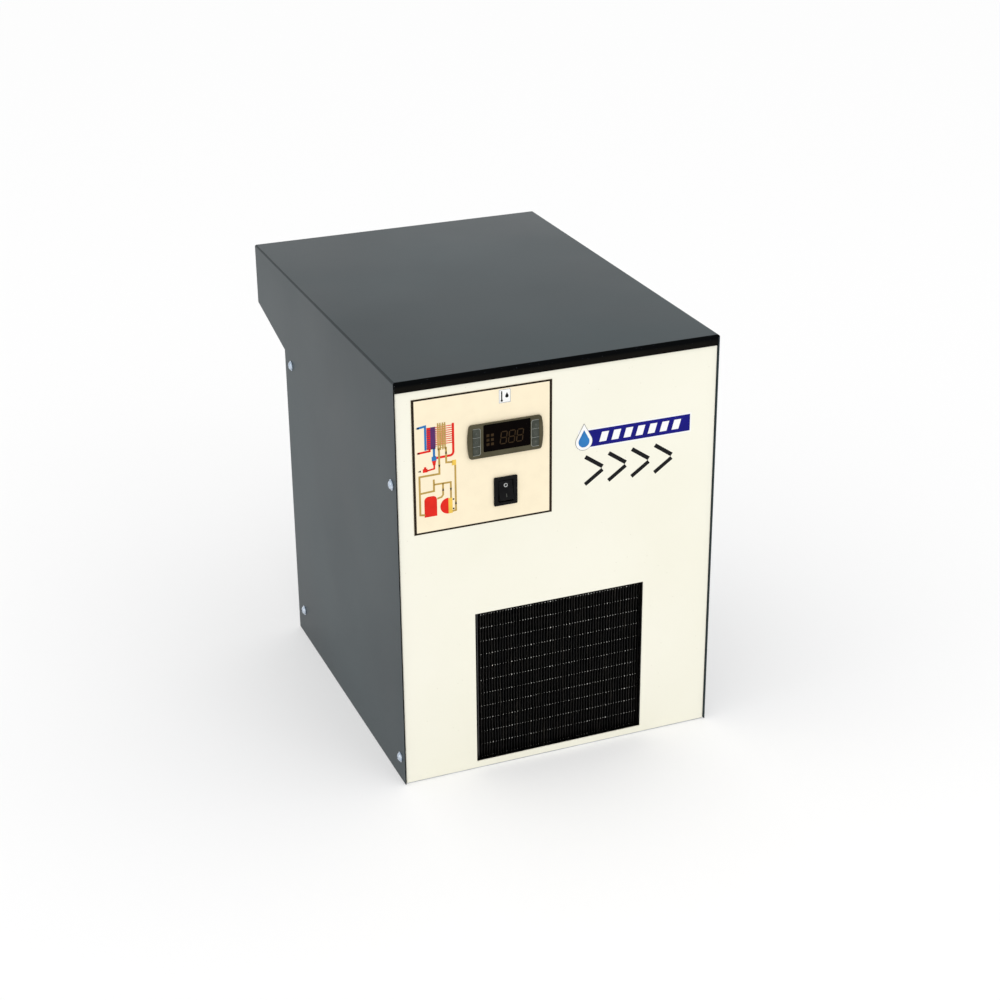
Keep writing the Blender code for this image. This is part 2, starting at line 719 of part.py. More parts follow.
def make_control_overlay():
    """Printed plastic label that frames the controller and the switch."""
    overlay = new_object("control_overlay", new_box(
        (OVERLAY_X - OVERLAY_WIDTH / 2, OVERLAY_FRONT, OVERLAY_Z - OVERLAY_HEIGHT / 2),
        (OVERLAY_X + OVERLAY_WIDTH / 2, OVERLAY_FRONT + OVERLAY_THICKNESS,
         OVERLAY_Z + OVERLAY_HEIGHT / 2)))
    cut(overlay, controller_cutout(), switch_cutout())
    finish(overlay, *LABEL_FILM)


def bezel_outline():
    """The bezel from the front: straight top and bottom, and bulging ends."""
    half_x = BEZEL_WIDTH / 2
    half_z = BEZEL_HEIGHT / 2
    steps = 8
    outline = []
    for sign in (1, -1):
        for step in range(steps + 1):
            across = -1 + 2 * step / steps
            bulge = BEZEL_BULGE * (1 - across * across)
            outline.append((
                CONTROL_X + sign * (half_x + bulge),
                CONTROLLER_Z + sign * across * half_z))
    return outline


def key_places():
    """Centre of each of the six keys, with its name."""
    places = {}
    for side, sign in (("left", -1), ("right", 1)):
        for name, row in (("top", 1), ("middle", 0), ("bottom", -1)):
            places[f"key_{side}_{name}"] = (
                CONTROL_X + sign * KEY_OFFSET, CONTROLLER_Z + row * KEY_PITCH)
    return places


def key_box(x, z, front, back, clearance=0.0):
    """A key's block, or the hole that it slides in."""
    half_x = KEY_WIDTH / 2 + clearance
    half_z = KEY_HEIGHT / 2 + clearance
    return new_box((x - half_x, front, z - half_z), (x + half_x, back, z + half_z))


def window_box(front, back, clearance=0.0):
    """The display window's block, or the pocket that it sits in."""
    half_x = WINDOW_WIDTH / 2 + clearance
    half_z = WINDOW_HEIGHT / 2 + clearance
    return new_box(
        (WINDOW_X - half_x, front, WINDOW_Z - half_z),
        (WINDOW_X + half_x, back, WINDOW_Z + half_z))


def make_controller():
    """Electronic thermostat: bezel, display window, six keys and the case behind the panel."""
    bezel = new_object("controller_bezel", new_prism(
        bezel_outline(), "Y", FRONT_Y + BEZEL_FRONT, FRONT_Y + BEZEL_BACK))
    pocket_back = BEZEL_FRONT + WINDOW_THICKNESS + 2 * GAP
    holes = [key_box(x, z, -BEYOND, BEYOND, GAP) for x, z in key_places().values()]
    cut(bezel, window_box(-BEYOND, pocket_back, GAP), *holes)
    finish(bezel, *OLIVE_PLASTIC)

    window_front = BEZEL_FRONT + GAP
    window = new_object("controller_window", window_box(
        window_front, window_front + WINDOW_THICKNESS))
    finish(window, *DARK_WINDOW)

    key_front = BEZEL_FRONT - KEY_PROUD
    for name, (x, z) in key_places().items():
        key = new_object(name, key_box(x, z, key_front, key_front + KEY_THICKNESS))
        finish(key, *KEY_PLASTIC, origin=place(x, key_front, z))

    half_x = CUTOUT_WIDTH / 2 - GAP
    half_z = CUTOUT_HEIGHT / 2 - GAP
    case_front = BEZEL_BACK + GAP
    case = new_object("controller_case", new_box(
        (CONTROL_X - half_x, case_front, CONTROLLER_Z - half_z),
        (CONTROL_X + half_x, case_front + CASE_DEPTH, CONTROLLER_Z + half_z)))
    finish(case, *BLACK_PLASTIC)


def rocker_outline():
    """The rocker from its end, as (Y, Z) around its pivot, tilted to the off position."""
    hollow = ROCKER_RADIUS * math.sin(ROCKER_CREST) - ROCKER_HOLLOW
    neutral = [(-hollow, 0)]
    steps = 4
    for sign in (-1, 1):
        for step in range(steps + 1):
            share = step / steps if sign < 0 else 1 - step / steps
            angle = ROCKER_CREST - (ROCKER_CREST + ROCKER_BACK) * share
            along, out = polar(angle, ROCKER_RADIUS)
            neutral.append((-out, sign * along))
    turn = Matrix.Rotation(-ROCKER_TILT, 2)
    return [tuple(turn @ Vector(point)) for point in neutral]


def make_switch():
    """Rocker switch: a framed body with a well, and the rocker that tips in it."""
    body_front = BEZEL_BACK + GAP
    well_back = ROCKER_PIVOT_DEPTH + SWITCH_WELL_DEPTH
    body = new_object("switch_body", new_box(
        (CONTROL_X - SWITCH_WIDTH / 2, SWITCH_FRONT, SWITCH_Z - SWITCH_HEIGHT / 2),
        (CONTROL_X + SWITCH_WIDTH / 2, BEZEL_BACK, SWITCH_Z + SWITCH_HEIGHT / 2)))
    add(body, new_box(
        (CONTROL_X - SWITCH_BODY_WIDTH / 2, SWITCH_FRONT + GAP,
         SWITCH_Z - SWITCH_BODY_HEIGHT / 2),
        (CONTROL_X + SWITCH_BODY_WIDTH / 2, body_front + SWITCH_BODY_DEPTH,
         SWITCH_Z + SWITCH_BODY_HEIGHT / 2)))
    half_x = ROCKER_WIDTH / 2 + ROCKER_WELL_CLEARANCE
    half_z = ROCKER_RADIUS + ROCKER_WELL_CLEARANCE
    cut(body, new_box(
        (CONTROL_X - half_x, -BEYOND, SWITCH_Z - half_z),
        (CONTROL_X + half_x, well_back, SWITCH_Z + half_z)))
    finish(body, *BLACK_PLASTIC)

    pivot = place(CONTROL_X, ROCKER_PIVOT_DEPTH, SWITCH_Z)
    outline = [(y + pivot.y, z + pivot.z) for y, z in rocker_outline()]
    rocker = new_object("switch_rocker", new_prism(
        outline, "X", CONTROL_X - ROCKER_WIDTH / 2, CONTROL_X + ROCKER_WIDTH / 2))
    finish(rocker, *BLACK_PLASTIC, origin=pivot)


# Condenser and fan ---------------------------------------------------------------------------

def tube_heights():
    """Height of each straight run of the condenser tube."""
    return [LOWEST_TUBE + row * TUBE_PITCH for row in range(TUBE_ROWS)]


def tube_holes():
    """Cutters for the tube's straight runs through fins and end plates."""
    radius = TUBE_RADIUS + 2 * GAP
    return [
        new_rod("X", place(CONDENSER_X, CONDENSER_MIDDLE, z), radius, -WIDTH, WIDTH, 8)
        for z in tube_heights()
    ]


def make_condenser_fins():
    """Finned block: grooves on both faces leave fins, with a web around the tube."""
    left = CONDENSER_X - FINS_WIDTH / 2
    fins = new_object("condenser_fins", new_box(
        (left, CONDENSER_FRONT, CONDENSER_BOTTOM),
        (left + FINS_WIDTH, CONDENSER_BACK, CONDENSER_TOP)))
    pitch = FINS_WIDTH / (FIN_GROOVES + 0.5)
    grooves = []
    for number in range(FIN_GROOVES):
        x = left + pitch * (number + 0.5)
        low = CONDENSER_BOTTOM - BEYOND
        high = CONDENSER_TOP + BEYOND
        grooves.append(new_box(
            (x, -BEYOND, low), (x + pitch / 2, CONDENSER_FRONT + FIN_GROOVE_DEPTH, high)))
        grooves.append(new_box(
            (x, CONDENSER_BACK - FIN_GROOVE_DEPTH, low), (x + pitch / 2, BEYOND, high)))
    cut(fins, *grooves)
    cut(fins, *tube_holes())
    finish(fins, *BLACK_PAINT)


def make_end_plates():
    """Tube sheets at both ends of the finned block."""
    for side, sign in (("left", -1), ("right", 1)):
        inner = CONDENSER_X + sign * END_PLATE_OFFSET
        outer = inner + sign * SHEET
        plate = new_object(f"condenser_end_plate_{side}", new_box(
            (min(inner, outer), CONDENSER_FRONT, CONDENSER_BOTTOM),
            (max(inner, outer), CONDENSER_BACK, CONDENSER_TOP)))
        cut(plate, *tube_holes())
        finish(plate, *BLACK_PAINT)


def make_condenser_tube():
    """One tube back and forth through the fins, with a round bend at each turn."""
    turn_x = END_PLATE_OFFSET + SHEET + TUBE_LEAD + TUBE_PITCH / 2
    corners = [place(TUBE_END_X, CONDENSER_MIDDLE, HIGHEST_TUBE)]
    for number, z in enumerate(reversed(tube_heights())):
        sign = 1 if number % 2 == 0 else -1
        if number > 0:
            corners.append(place(CONDENSER_X - sign * turn_x, CONDENSER_MIDDLE, z))
        if number < TUBE_ROWS - 1:
            corners.append(place(CONDENSER_X + sign * turn_x, CONDENSER_MIDDLE, z))
    corners.append(place(TUBE_END_X, CONDENSER_MIDDLE, LOWEST_TUBE))
    bend = TUBE_PITCH / 2 * TUBE_BEND_SHARE
    tube = new_pipe("condenser_tube", rounded_route(corners, bend, 3), TUBE_RADIUS, 6)
    finish(tube, *COPPER)


def make_fan_shroud():
    """Plate behind the fins with a round throat for the fan."""
    half_x = END_PLATE_OFFSET + SHEET
    shroud = new_object("fan_shroud", new_box(
        (CONDENSER_X - half_x, SHROUD_FRONT, CONDENSER_BOTTOM),
        (CONDENSER_X + half_x, SHROUD_BACK, CONDENSER_TOP)))
    centre = place(CONDENSER_X, SHROUD_FRONT, FAN_Z)
    ring_radius = SHROUD_RADIUS + SHROUD_RING_WALL
    add(shroud, new_rod("Y", centre, ring_radius, SHEET / 2, SHROUD_RING_LENGTH, 32))
    cut(shroud, new_rod("Y", centre, SHROUD_RADIUS, -BEYOND, BEYOND, 32))
    finish(shroud, *GALVANISED)


def blade_shape(angle):
    """One fan blade: a flat strip, pitched, from inside the hub to the tip."""
    mesh = bmesh.new()
    bmesh.ops.create_cube(mesh, size=1)
    root = FAN_HUB_RADIUS - FAN_BLADE_ROOT
    length = FAN_RADIUS - root
    size = (FAN_BLADE_WIDTH, FAN_BLADE_THICKNESS, length)
    bmesh.ops.scale(mesh, vec=size, verts=mesh.verts)
    for corner in mesh.verts:
        if corner.co.z < 0:
            corner.co.x *= 0.45
    bmesh.ops.rotate(mesh, matrix=Matrix.Rotation(FAN_PITCH, 3, "Z"), verts=mesh.verts)
    bmesh.ops.translate(mesh, vec=(0, 0, root + length / 2), verts=mesh.verts)
    bmesh.ops.rotate(mesh, matrix=Matrix.Rotation(angle, 3, "Y"), verts=mesh.verts)
    bmesh.ops.translate(mesh, vec=place(CONDENSER_X, FAN_PLANE, FAN_Z), verts=mesh.verts)
    return mesh


def make_fan():
    """Fan wheel on its shaft, the strap that carries the motor, and the motor."""
    centre = place(CONDENSER_X, FAN_PLANE, FAN_Z)
    half = FAN_HUB_LENGTH / 2
    hub = [
        (0, -half), (FAN_HUB_RADIUS, -half), (FAN_HUB_RADIUS, half),
        (FAN_SHAFT_RADIUS, half), (FAN_SHAFT_RADIUS, half + FAN_SHAFT_LENGTH),
        (0, half + FAN_SHAFT_LENGTH),
    ]
    fan = new_object("fan_blade", new_turned(hub, "Y", centre, 20))
    for number in range(FAN_BLADES):
        add(fan, blade_shape(math.tau * number / FAN_BLADES))
    finish(fan, *ALUMINIUM, origin=centre)

    hole = FAN_SHAFT_RADIUS + 2 * GAP
    strap_half = SHROUD_RADIUS + SHROUD_RING_WALL + 2 * SHEET
    strap = new_object("fan_bracket", new_box(
        (CONDENSER_X - strap_half, STRAP_FRONT, FAN_Z - FAN_STRAP_WIDTH / 2),
        (CONDENSER_X + strap_half, STRAP_FRONT + SHEET, FAN_Z + FAN_STRAP_WIDTH / 2)))
    legs = [new_box(
        (CONDENSER_X + sign * strap_half - SHEET / 2, SHROUD_BACK + GAP,
         FAN_Z - FAN_STRAP_WIDTH / 2),
        (CONDENSER_X + sign * strap_half + SHEET / 2, STRAP_FRONT + SHEET,
         FAN_Z + FAN_STRAP_WIDTH / 2)) for sign in (-1, 1)]
    add(strap, *legs)
    cut(strap, new_rod("Y", centre, hole, 0, BEYOND))
    finish(strap, *GALVANISED)

    motor_centre = place(CONDENSER_X, MOTOR_FRONT, FAN_Z)
    shoulder = MOTOR_LENGTH * MOTOR_SHOULDER_SHARE
    nose = MOTOR_RADIUS * MOTOR_NOSE_SHARE
    motor = [
        (hole, 0), (nose, 0), (MOTOR_RADIUS, shoulder),
        (MOTOR_RADIUS, MOTOR_LENGTH - shoulder), (nose, MOTOR_LENGTH),
        (0, MOTOR_LENGTH), (0, FAN_SHAFT_LENGTH), (hole, FAN_SHAFT_LENGTH),
    ]
    finish(new_object("fan_motor", new_turned(motor, "Y", motor_centre)), *BLACK_PAINT)


# Compressor ----------------------------------------------------------------------------------

def compressor_axis(z=0.0):
    """A point on the compressor's upright axis."""
    return place(COMPRESSOR_X, COMPRESSOR_DEPTH, z)


def foot_places():
    """Width and depth of the four rubber feet."""
    return [
        (COMPRESSOR_X + sign_x * FOOT_SPACING_X / 2, COMPRESSOR_DEPTH + sign_y * FOOT_SPACING_Y / 2)
        for sign_x in (-1, 1) for sign_y in (-1, 1)
    ]


def make_compressor_shell():
    """Pressed steel can in two halves, with a foot plate under the lower one."""
    radius = COMPRESSOR_RADIUS
    wall = COMPRESSOR_WALL
    rim = radius + COMPRESSOR_RIM
    inner = radius - wall
    floor = COMPRESSOR_BOTTOM + FOOT_THICKNESS / 2
    inner_floor = floor + wall + SHELL_FLOOR_EXTRA
    seam = COMPRESSOR_SEAM
    lower = [
        (0, floor), (radius * SHELL_FLAT_SHARE, floor),
        (radius, floor + SHELL_CORNER), (radius, seam - wall),
        (rim, seam - wall), (rim, seam), (inner, seam),
        (inner, floor + SHELL_CORNER + SHELL_FLOOR_EXTRA),
        (inner * SHELL_FLAT_SHARE, inner_floor), (0, inner_floor),
    ]
    shell = new_object("compressor_shell_lower", new_turned(lower, "Z", compressor_axis(), 24))
    add(shell, new_box(
        (COMPRESSOR_X - FOOT_LENGTH / 2, COMPRESSOR_DEPTH - FOOT_WIDTH / 2, COMPRESSOR_BOTTOM),
        (COMPRESSOR_X + FOOT_LENGTH / 2, COMPRESSOR_DEPTH + FOOT_WIDTH / 2,
         COMPRESSOR_BOTTOM + FOOT_THICKNESS)))
    hole = GROMMET_WAIST + 2 * GAP
    plate_top = COMPRESSOR_BOTTOM + FOOT_THICKNESS
    cut(shell, *[new_rod("Z", place(x, depth, 0), hole, 0, plate_top + CUT_REACH, 12)
                 for x, depth in foot_places()])
    finish(shell, *BLACK_PAINT, smooth=True)

    base = seam + GAP
    top = COMPRESSOR_TOP
    upper = [
        (rim, base), (rim, base + wall), (radius, base + wall), (radius, top - DOME_DROP),
        (radius * DOME_SHOULDER_SHARE, top - DOME_SHOULDER_DROP),
        (radius * DOME_CROWN_SHARE, top), (0, top), (0, top - wall),
        (inner * DOME_CROWN_SHARE, top - wall),
        (inner * DOME_SHOULDER_INNER_SHARE, top - DOME_SHOULDER_DROP - wall),
        (inner, top - DOME_DROP - wall), (inner, base),
    ]
    shell = new_object("compressor_shell_upper", new_turned(upper, "Z", compressor_axis(), 24))
    finish(shell, *BLACK_PAINT, smooth=True)


def make_compressor_inside():
    """Stator and pump block, and the crankshaft with its rotor that turns inside them."""
    bore = ROTOR_RADIUS + ROTOR_CLEARANCE
    bearing = CRANK_RADIUS + ROTOR_CLEARANCE
    rotor_space = STATOR_TOP - ROTOR_SPACE_DEPTH
    pump_radius = STATOR_RADIUS * PUMP_BODY_SHARE
    block = [
        (bore, STATOR_BOTTOM), (STATOR_RADIUS, STATOR_BOTTOM), (STATOR_RADIUS, STATOR_TOP),
        (pump_radius, STATOR_TOP), (pump_radius, PUMP_TOP),
        (bearing, PUMP_TOP), (bearing, rotor_space), (bore, rotor_space),
    ]
    finish(new_object("compressor_motor_block", new_turned(
        block, "Z", compressor_axis(), 20)), *CAST_IRON)

    crank_top = PUMP_TOP + CRANK_TAIL
    crank_foot = STATOR_BOTTOM - CRANK_TAIL
    rotor_foot = STATOR_BOTTOM + ROTOR_END_SPACE
    rotor_top = rotor_space - ROTOR_END_SPACE
    web_radius = CRANK_RADIUS + CRANK_THROW
    shaft = [
        (0, crank_foot), (CRANK_RADIUS, crank_foot), (CRANK_RADIUS, rotor_foot),
        (ROTOR_RADIUS, rotor_foot), (ROTOR_RADIUS, rotor_top), (CRANK_RADIUS, rotor_top),
        (CRANK_RADIUS, crank_top), (web_radius, crank_top),
        (web_radius, crank_top + CRANK_WEB), (0, crank_top + CRANK_WEB),
    ]
    crank = new_object("compressor_crankshaft", new_turned(shaft, "Z", compressor_axis(), 16))
    pin = compressor_axis() + Vector((CRANK_THROW, 0, 0))
    add(crank, new_rod(
        "Z", pin, CRANK_RADIUS * CRANK_PIN_SHARE, crank_top + CRANK_PIN_START,
        crank_top + CRANK_PIN_END, 10))
    finish(crank, *BRIGHT_STEEL, origin=compressor_axis(STATOR_BOTTOM))


def make_compressor_fittings():
    """Terminal cover on the front of the can, and the rubber feet under it."""
    back = COMPRESSOR_DEPTH - COMPRESSOR_RADIUS - COMPRESSOR_RIM - GAP
    bottom = COMPRESSOR_SEAM - TERMINAL_HEIGHT / 2
    cover = new_object("compressor_terminal_cover", new_box(
        (COMPRESSOR_X - TERMINAL_WIDTH / 2, back - TERMINAL_DEPTH, bottom),
        (COMPRESSOR_X + TERMINAL_WIDTH / 2, back, bottom + TERMINAL_HEIGHT)))
    finish(cover, *BLACK_PLASTIC)

    below = COMPRESSOR_BOTTOM - GAP
    above = COMPRESSOR_BOTTOM + FOOT_THICKNESS + GAP
    bottom = SHEET + GAP
    profile = [
        (0, bottom), (GROMMET_FLANGE, bottom), (GROMMET_FLANGE, below), (GROMMET_WAIST, below),
        (GROMMET_WAIST, above), (GROMMET_FLANGE * GROMMET_COLLAR_SHARE, above),
        (GROMMET_FLANGE * GROMMET_TIP_SHARE, bottom + GROMMET_HEIGHT),
        (0, bottom + GROMMET_HEIGHT),
    ]
    for number, (x, depth) in enumerate(foot_places(), start=1):
        foot = new_object(f"compressor_foot_{number}", new_turned(
            profile, "Z", place(x, depth, 0), 12))
        finish(foot, *RUBBER)


# Heat exchanger ------------------------------------------------------------------------------

def refrigerant_holes():
    """Where the suction line and the capillary enter the exchanger: width, height, radius."""
    return {
        "suction": (
            EXCHANGER_X - SUCTION_SIDE, EXCHANGER_TOP - SUCTION_BELOW_TOP, SUCTION_RADIUS),
        "capillary": (
            EXCHANGER_X - CAPILLARY_SIDE, EXCHANGER_TOP - CAPILLARY_BELOW_TOP,
            CAPILLARY_RADIUS),
    }


def make_heat_exchanger():
    """Aluminium block with an air chamber behind each port."""
    half = EXCHANGER_WIDTH / 2
    block = new_object("heat_exchanger", new_box(
        (EXCHANGER_X - half, EXCHANGER_FRONT, EXCHANGER_BOTTOM),
        (EXCHANGER_X + half, EXCHANGER_BACK, EXCHANGER_TOP)))
    chambers = []
    for sign in (-1, 1):
        near = EXCHANGER_X + sign * EXCHANGER_WALL / 2
        far = EXCHANGER_X + sign * (half - EXCHANGER_WALL)
        chambers.append(new_box(
            (min(near, far), EXCHANGER_FRONT + EXCHANGER_WALL, EXCHANGER_BOTTOM + EXCHANGER_WALL),
            (max(near, far), EXCHANGER_BACK - EXCHANGER_WALL, EXCHANGER_TOP - EXCHANGER_WALL)))
    cut(block, *chambers)
    cut(block, *[new_rod("Y", place(x, EXCHANGER_BACK, PORT_Z), PIPE_BORE, -CUT_REACH, CUT_REACH)
                 for x in port_places().values()])
    finish(block, *ALUMINIUM)


def make_insulation():
    """Two foam half shells around the exchanger, open where pipes pass."""
    inside = EXCHANGER_WIDTH / 2 + GAP
    outside = inside + INSULATION
    front = EXCHANGER_FRONT - GAP
    back = EXCHANGER_BACK + GAP
    low = EXCHANGER_BOTTOM - GAP
    high = EXCHANGER_TOP + GAP
    for side, sign in (("left", -1), ("right", 1)):
        split = EXCHANGER_X + sign * GAP / 2
        outer = EXCHANGER_X + sign * outside
        shell = new_object(f"insulation_{side}", new_box(
            (min(split, outer), front - INSULATION, low - INSULATION),
            (max(split, outer), back + INSULATION, high + INSULATION)))
        cut(shell, new_box((EXCHANGER_X - inside, front, low), (EXCHANGER_X + inside, back, high)))
        holes = [
            new_rod("Y", place(x, EXCHANGER_BACK, PORT_Z), PIPE_RADIUS + 2 * GAP, -CUT_REACH, BEYOND)
            for x in port_places().values()]
        holes += [
            new_rod("Y", place(x, EXCHANGER_FRONT, z), radius + 2 * GAP, -BEYOND, CUT_REACH, 12)
            for x, z, radius in refrigerant_holes().values()]
        nipple = place(DRAIN_X, EXCHANGER_MIDDLE, EXCHANGER_BOTTOM)
        holes.append(new_rod("Z", nipple, DRAIN_NIPPLE_RADIUS + 2 * GAP, -BEYOND, CUT_REACH))
        cut(shell, *holes)
        finish(shell, *FOAM)


def make_exchanger_stand():
    """Folded bridge that lifts the exchanger off the floor tray, with room for the drain."""
    half = EXCHANGER_WIDTH / 2 + GAP + INSULATION
    top = EXCHANGER_BOTTOM - 2 * GAP - INSULATION
    front = EXCHANGER_FRONT + STAND_INSET
    back = EXCHANGER_BACK - STAND_INSET
    stand = new_object("exchanger_stand", new_box(
        (EXCHANGER_X - half, front, SHEET + GAP), (EXCHANGER_X + half, back, top)))
    cut(stand, new_box(
        (EXCHANGER_X - half + SHEET, front - BEYOND, -BEYOND),
        (EXCHANGER_X + half - SHEET, back + BEYOND, top - SHEET)))
    nipple = place(DRAIN_X, EXCHANGER_MIDDLE, top)
    cut(stand, new_rod("Z", nipple, DRAIN_NIPPLE_RADIUS + 2 * GAP, -CUT_REACH, CUT_REACH))
    finish(stand, *GALVANISED)


def make_air_pipes():
    """Straight air pipes from the exchanger through the rear panel to hexagon sockets."""
    start = EXCHANGER_BACK + GAP
    port_front = BODY_DEPTH + GAP
    port_end = port_front + PORT_LENGTH
    for name, x in port_places().items():
        centre = place(x, 0, PORT_Z)
        pipe = new_object(name, new_rod("Y", centre, PIPE_RADIUS, start, port_end - GAP, 20))
        add(pipe, new_rod("Y", centre, PORT_HEX_RADIUS, port_front, port_end, 6))
        cut(pipe, new_rod("Y", centre, PIPE_BORE, start - CUT_REACH, port_end - PORT_BORE_DEPTH / 2))
        cut(pipe, new_rod("Y", centre, PORT_BORE, port_end - PORT_BORE_DEPTH, port_end + CUT_REACH, 20))
        finish(pipe, *BRASS)


# Drain and power -----------------------------------------------------------------------------

def make_drain_valve():
    """Timed drain: brass body with a nipple and a stem, its coil and its plunger."""
    half = DRAIN_BLOCK / 2
    centre = place(DRAIN_X, 0, DRAIN_HEIGHT)
    body = new_object("drain_valve_body", new_box(
        (DRAIN_X - half, DRAIN_BLOCK_FRONT, DRAIN_HEIGHT - half),
        (DRAIN_X + half, DRAIN_BLOCK_BACK, DRAIN_HEIGHT + half)))
    nipple = place(DRAIN_X, EXCHANGER_MIDDLE, 0)
    add(body, new_rod("Z", nipple, DRAIN_NIPPLE_RADIUS, DRAIN_HEIGHT, EXCHANGER_BOTTOM - GAP, 12))
    stem_front = DRAIN_BLOCK_FRONT - STEM_LENGTH
    add(body, new_rod("Y", centre, STEM_RADIUS, stem_front, DRAIN_BLOCK_FRONT + STEM_ROOT))
    cut(body, new_rod("Y", centre, STEM_BORE, stem_front - CUT_REACH, EXCHANGER_MIDDLE))
    finish(body, *BRASS)

    coil_back = DRAIN_BLOCK_FRONT - COIL_SPACE
    coil = new_object("drain_coil", new_box(
        (DRAIN_X - COIL_SIZE / 2, coil_back - COIL_LENGTH, DRAIN_HEIGHT - COIL_SIZE / 2),
        (DRAIN_X + COIL_SIZE / 2, coil_back, DRAIN_HEIGHT + COIL_SIZE / 2)))
    cut(coil, new_rod("Y", centre, STEM_RADIUS + 2 * GAP, stem_front, DRAIN_BLOCK_BACK))
    finish(coil, *BLACK_PLASTIC)

    plunger_end = EXCHANGER_MIDDLE - GAP
    start = place(DRAIN_X, plunger_end - PLUNGER_LENGTH, DRAIN_HEIGHT)
    plunger = new_object("drain_plunger", new_rod(
        "Y", start, PLUNGER_RADIUS, 0, PLUNGER_LENGTH, 14))
    finish(plunger, *BRIGHT_STEEL, origin=start)


def make_drain_outlet():
    """Push-in fitting in the rear panel, and the hose that feeds it."""
    centre = place(DRAIN_FITTING_X, 0, DRAIN_HEIGHT)
    inner_end = REAR_INNER - FITTING_TAIL
    hex_front = BODY_DEPTH + GAP
    fitting = new_object("drain_outlet_fitting", new_rod(
        "Y", centre, FITTING_NECK, inner_end, hex_front + FITTING_LENGTH, 14))
    add(fitting, new_rod(
        "Y", centre, FITTING_HEX_RADIUS, hex_front, hex_front + FITTING_HEX_LENGTH, 6))
    cut(fitting, new_rod(
        "Y", centre, FITTING_BORE, inner_end - CUT_REACH,
        hex_front + FITTING_LENGTH + CUT_REACH, 12))
    finish(fitting, *BLACK_PLASTIC)

    start = DRAIN_BLOCK_BACK + GAP
    end = inner_end - GAP
    middle = (start + end) / 2
    corners = [
        place(DRAIN_X, start, DRAIN_HEIGHT), place(DRAIN_X, middle - HOSE_SHIFT / 2, DRAIN_HEIGHT),
        place(DRAIN_FITTING_X, middle + HOSE_SHIFT / 2, DRAIN_HEIGHT),
        place(DRAIN_FITTING_X, end, DRAIN_HEIGHT),
    ]
    hose = new_pipe("drain_hose", rounded_route(corners, 2.5 * LINE_RADIUS), HOSE_RADIUS)
    finish(hose, *HOSE_PLASTIC)


def inlet_box(width, height, front, back):
    """A block centred on the power inlet."""
    return new_box(
        (INLET_X - width / 2, front, INLET_Z - height / 2),
        (INLET_X + width / 2, back, INLET_Z + height / 2))


def make_power_inlet():
    """Three-pin appliance inlet in the rear panel, with no lead."""
    face = BODY_DEPTH + GAP + INLET_FLANGE_THICKNESS
    inlet = new_object("power_inlet", inlet_box(
        INLET_FLANGE_WIDTH, INLET_FLANGE_HEIGHT, BODY_DEPTH + GAP, face))
    add(inlet, inlet_box(
        INLET_BODY_WIDTH, INLET_BODY_HEIGHT, face - INLET_BODY_DEPTH, face - GAP))
    cavity_back = face - INLET_CAVITY_DEPTH
    cut(inlet, inlet_box(
        INLET_CAVITY_WIDTH, INLET_CAVITY_HEIGHT, cavity_back, face + BEYOND))
    for side, up in ((-1, -PIN_STAGGER), (0, PIN_STAGGER), (1, -PIN_STAGGER)):
        x = INLET_X + side * PIN_SPACING
        z = INLET_Z + up
        add(inlet, new_box(
            (x - PIN_WIDTH / 2, cavity_back - PIN_ROOT, z - PIN_HEIGHT / 2),
            (x + PIN_WIDTH / 2, face - PIN_RECESS, z + PIN_HEIGHT / 2)))
    finish(inlet, *BLACK_PLASTIC)


# Refrigerant lines ---------------------------------------------------------------------------

def on_compressor(angle, distance, z):
    """A point at a distance from the compressor's side wall, at an angle around its axis."""
    x, depth = polar(math.radians(angle), COMPRESSOR_RADIUS + distance)
    return place(COMPRESSOR_X + x, COMPRESSOR_DEPTH + depth, z)


def make_discharge_line():
    """Hot gas from the compressor, up the left wall and forward to the condenser."""
    port = COMPRESSOR_SEAM - DISCHARGE_PORT_DROP
    out = COMPRESSOR_X - LINE_X
    corners = [
        on_compressor(225, GAP, port),
        place(LINE_X, COMPRESSOR_DEPTH - out, port),
        place(LINE_X, COMPRESSOR_DEPTH - out, DISCHARGE_HEIGHT),
        place(LINE_X, CONDENSER_MIDDLE, DISCHARGE_HEIGHT),
        place(LINE_X, CONDENSER_MIDDLE, HIGHEST_TUBE),
        place(TUBE_END_X - GAP, CONDENSER_MIDDLE, HIGHEST_TUBE),
    ]
    line = new_pipe("discharge_line", rounded_route(corners, LINE_BEND), LINE_RADIUS)
    finish(line, *COPPER)


def suction_column():
    """Width and depth of the suction line's upright run."""
    point = on_compressor(315, SUCTION_COLUMN_SPACE, 0)
    return point.x, point.y - FRONT_Y


def make_suction_line():
    """Cold gas from the exchanger back to the compressor."""
    hole_x, hole_z, _ = refrigerant_holes()["suction"]
    column_x, column_depth = suction_column()
    forward = column_depth - SUCTION_FORWARD
    port = COMPRESSOR_SEAM + SUCTION_PORT_RISE
    corners = [
        on_compressor(315, GAP, port),
        place(column_x, column_depth, port),
        place(column_x, column_depth, hole_z),
        place(column_x, forward, hole_z),
        place(hole_x, forward, hole_z),
        place(hole_x, EXCHANGER_FRONT - GAP, hole_z),
    ]
    line = new_pipe("suction_line", rounded_route(corners, LINE_BEND), SUCTION_RADIUS)
    finish(line, *COPPER)


def make_liquid_line():
    """From the condenser's lowest run to the filter drier."""
    corners = [
        place(TUBE_END_X - GAP, CONDENSER_MIDDLE, LOWEST_TUBE),
        place(DRIER_X, CONDENSER_MIDDLE, LOWEST_TUBE),
        place(DRIER_X, DRIER_DEPTH, LOWEST_TUBE),
        place(DRIER_X, DRIER_DEPTH, DRIER_BOTTOM - GAP),
    ]
    route = rounded_route(corners, LINE_BEND * TIGHT_BEND_SHARE)
    line = new_pipe("liquid_line", route, LINE_RADIUS)
    finish(line, *COPPER)


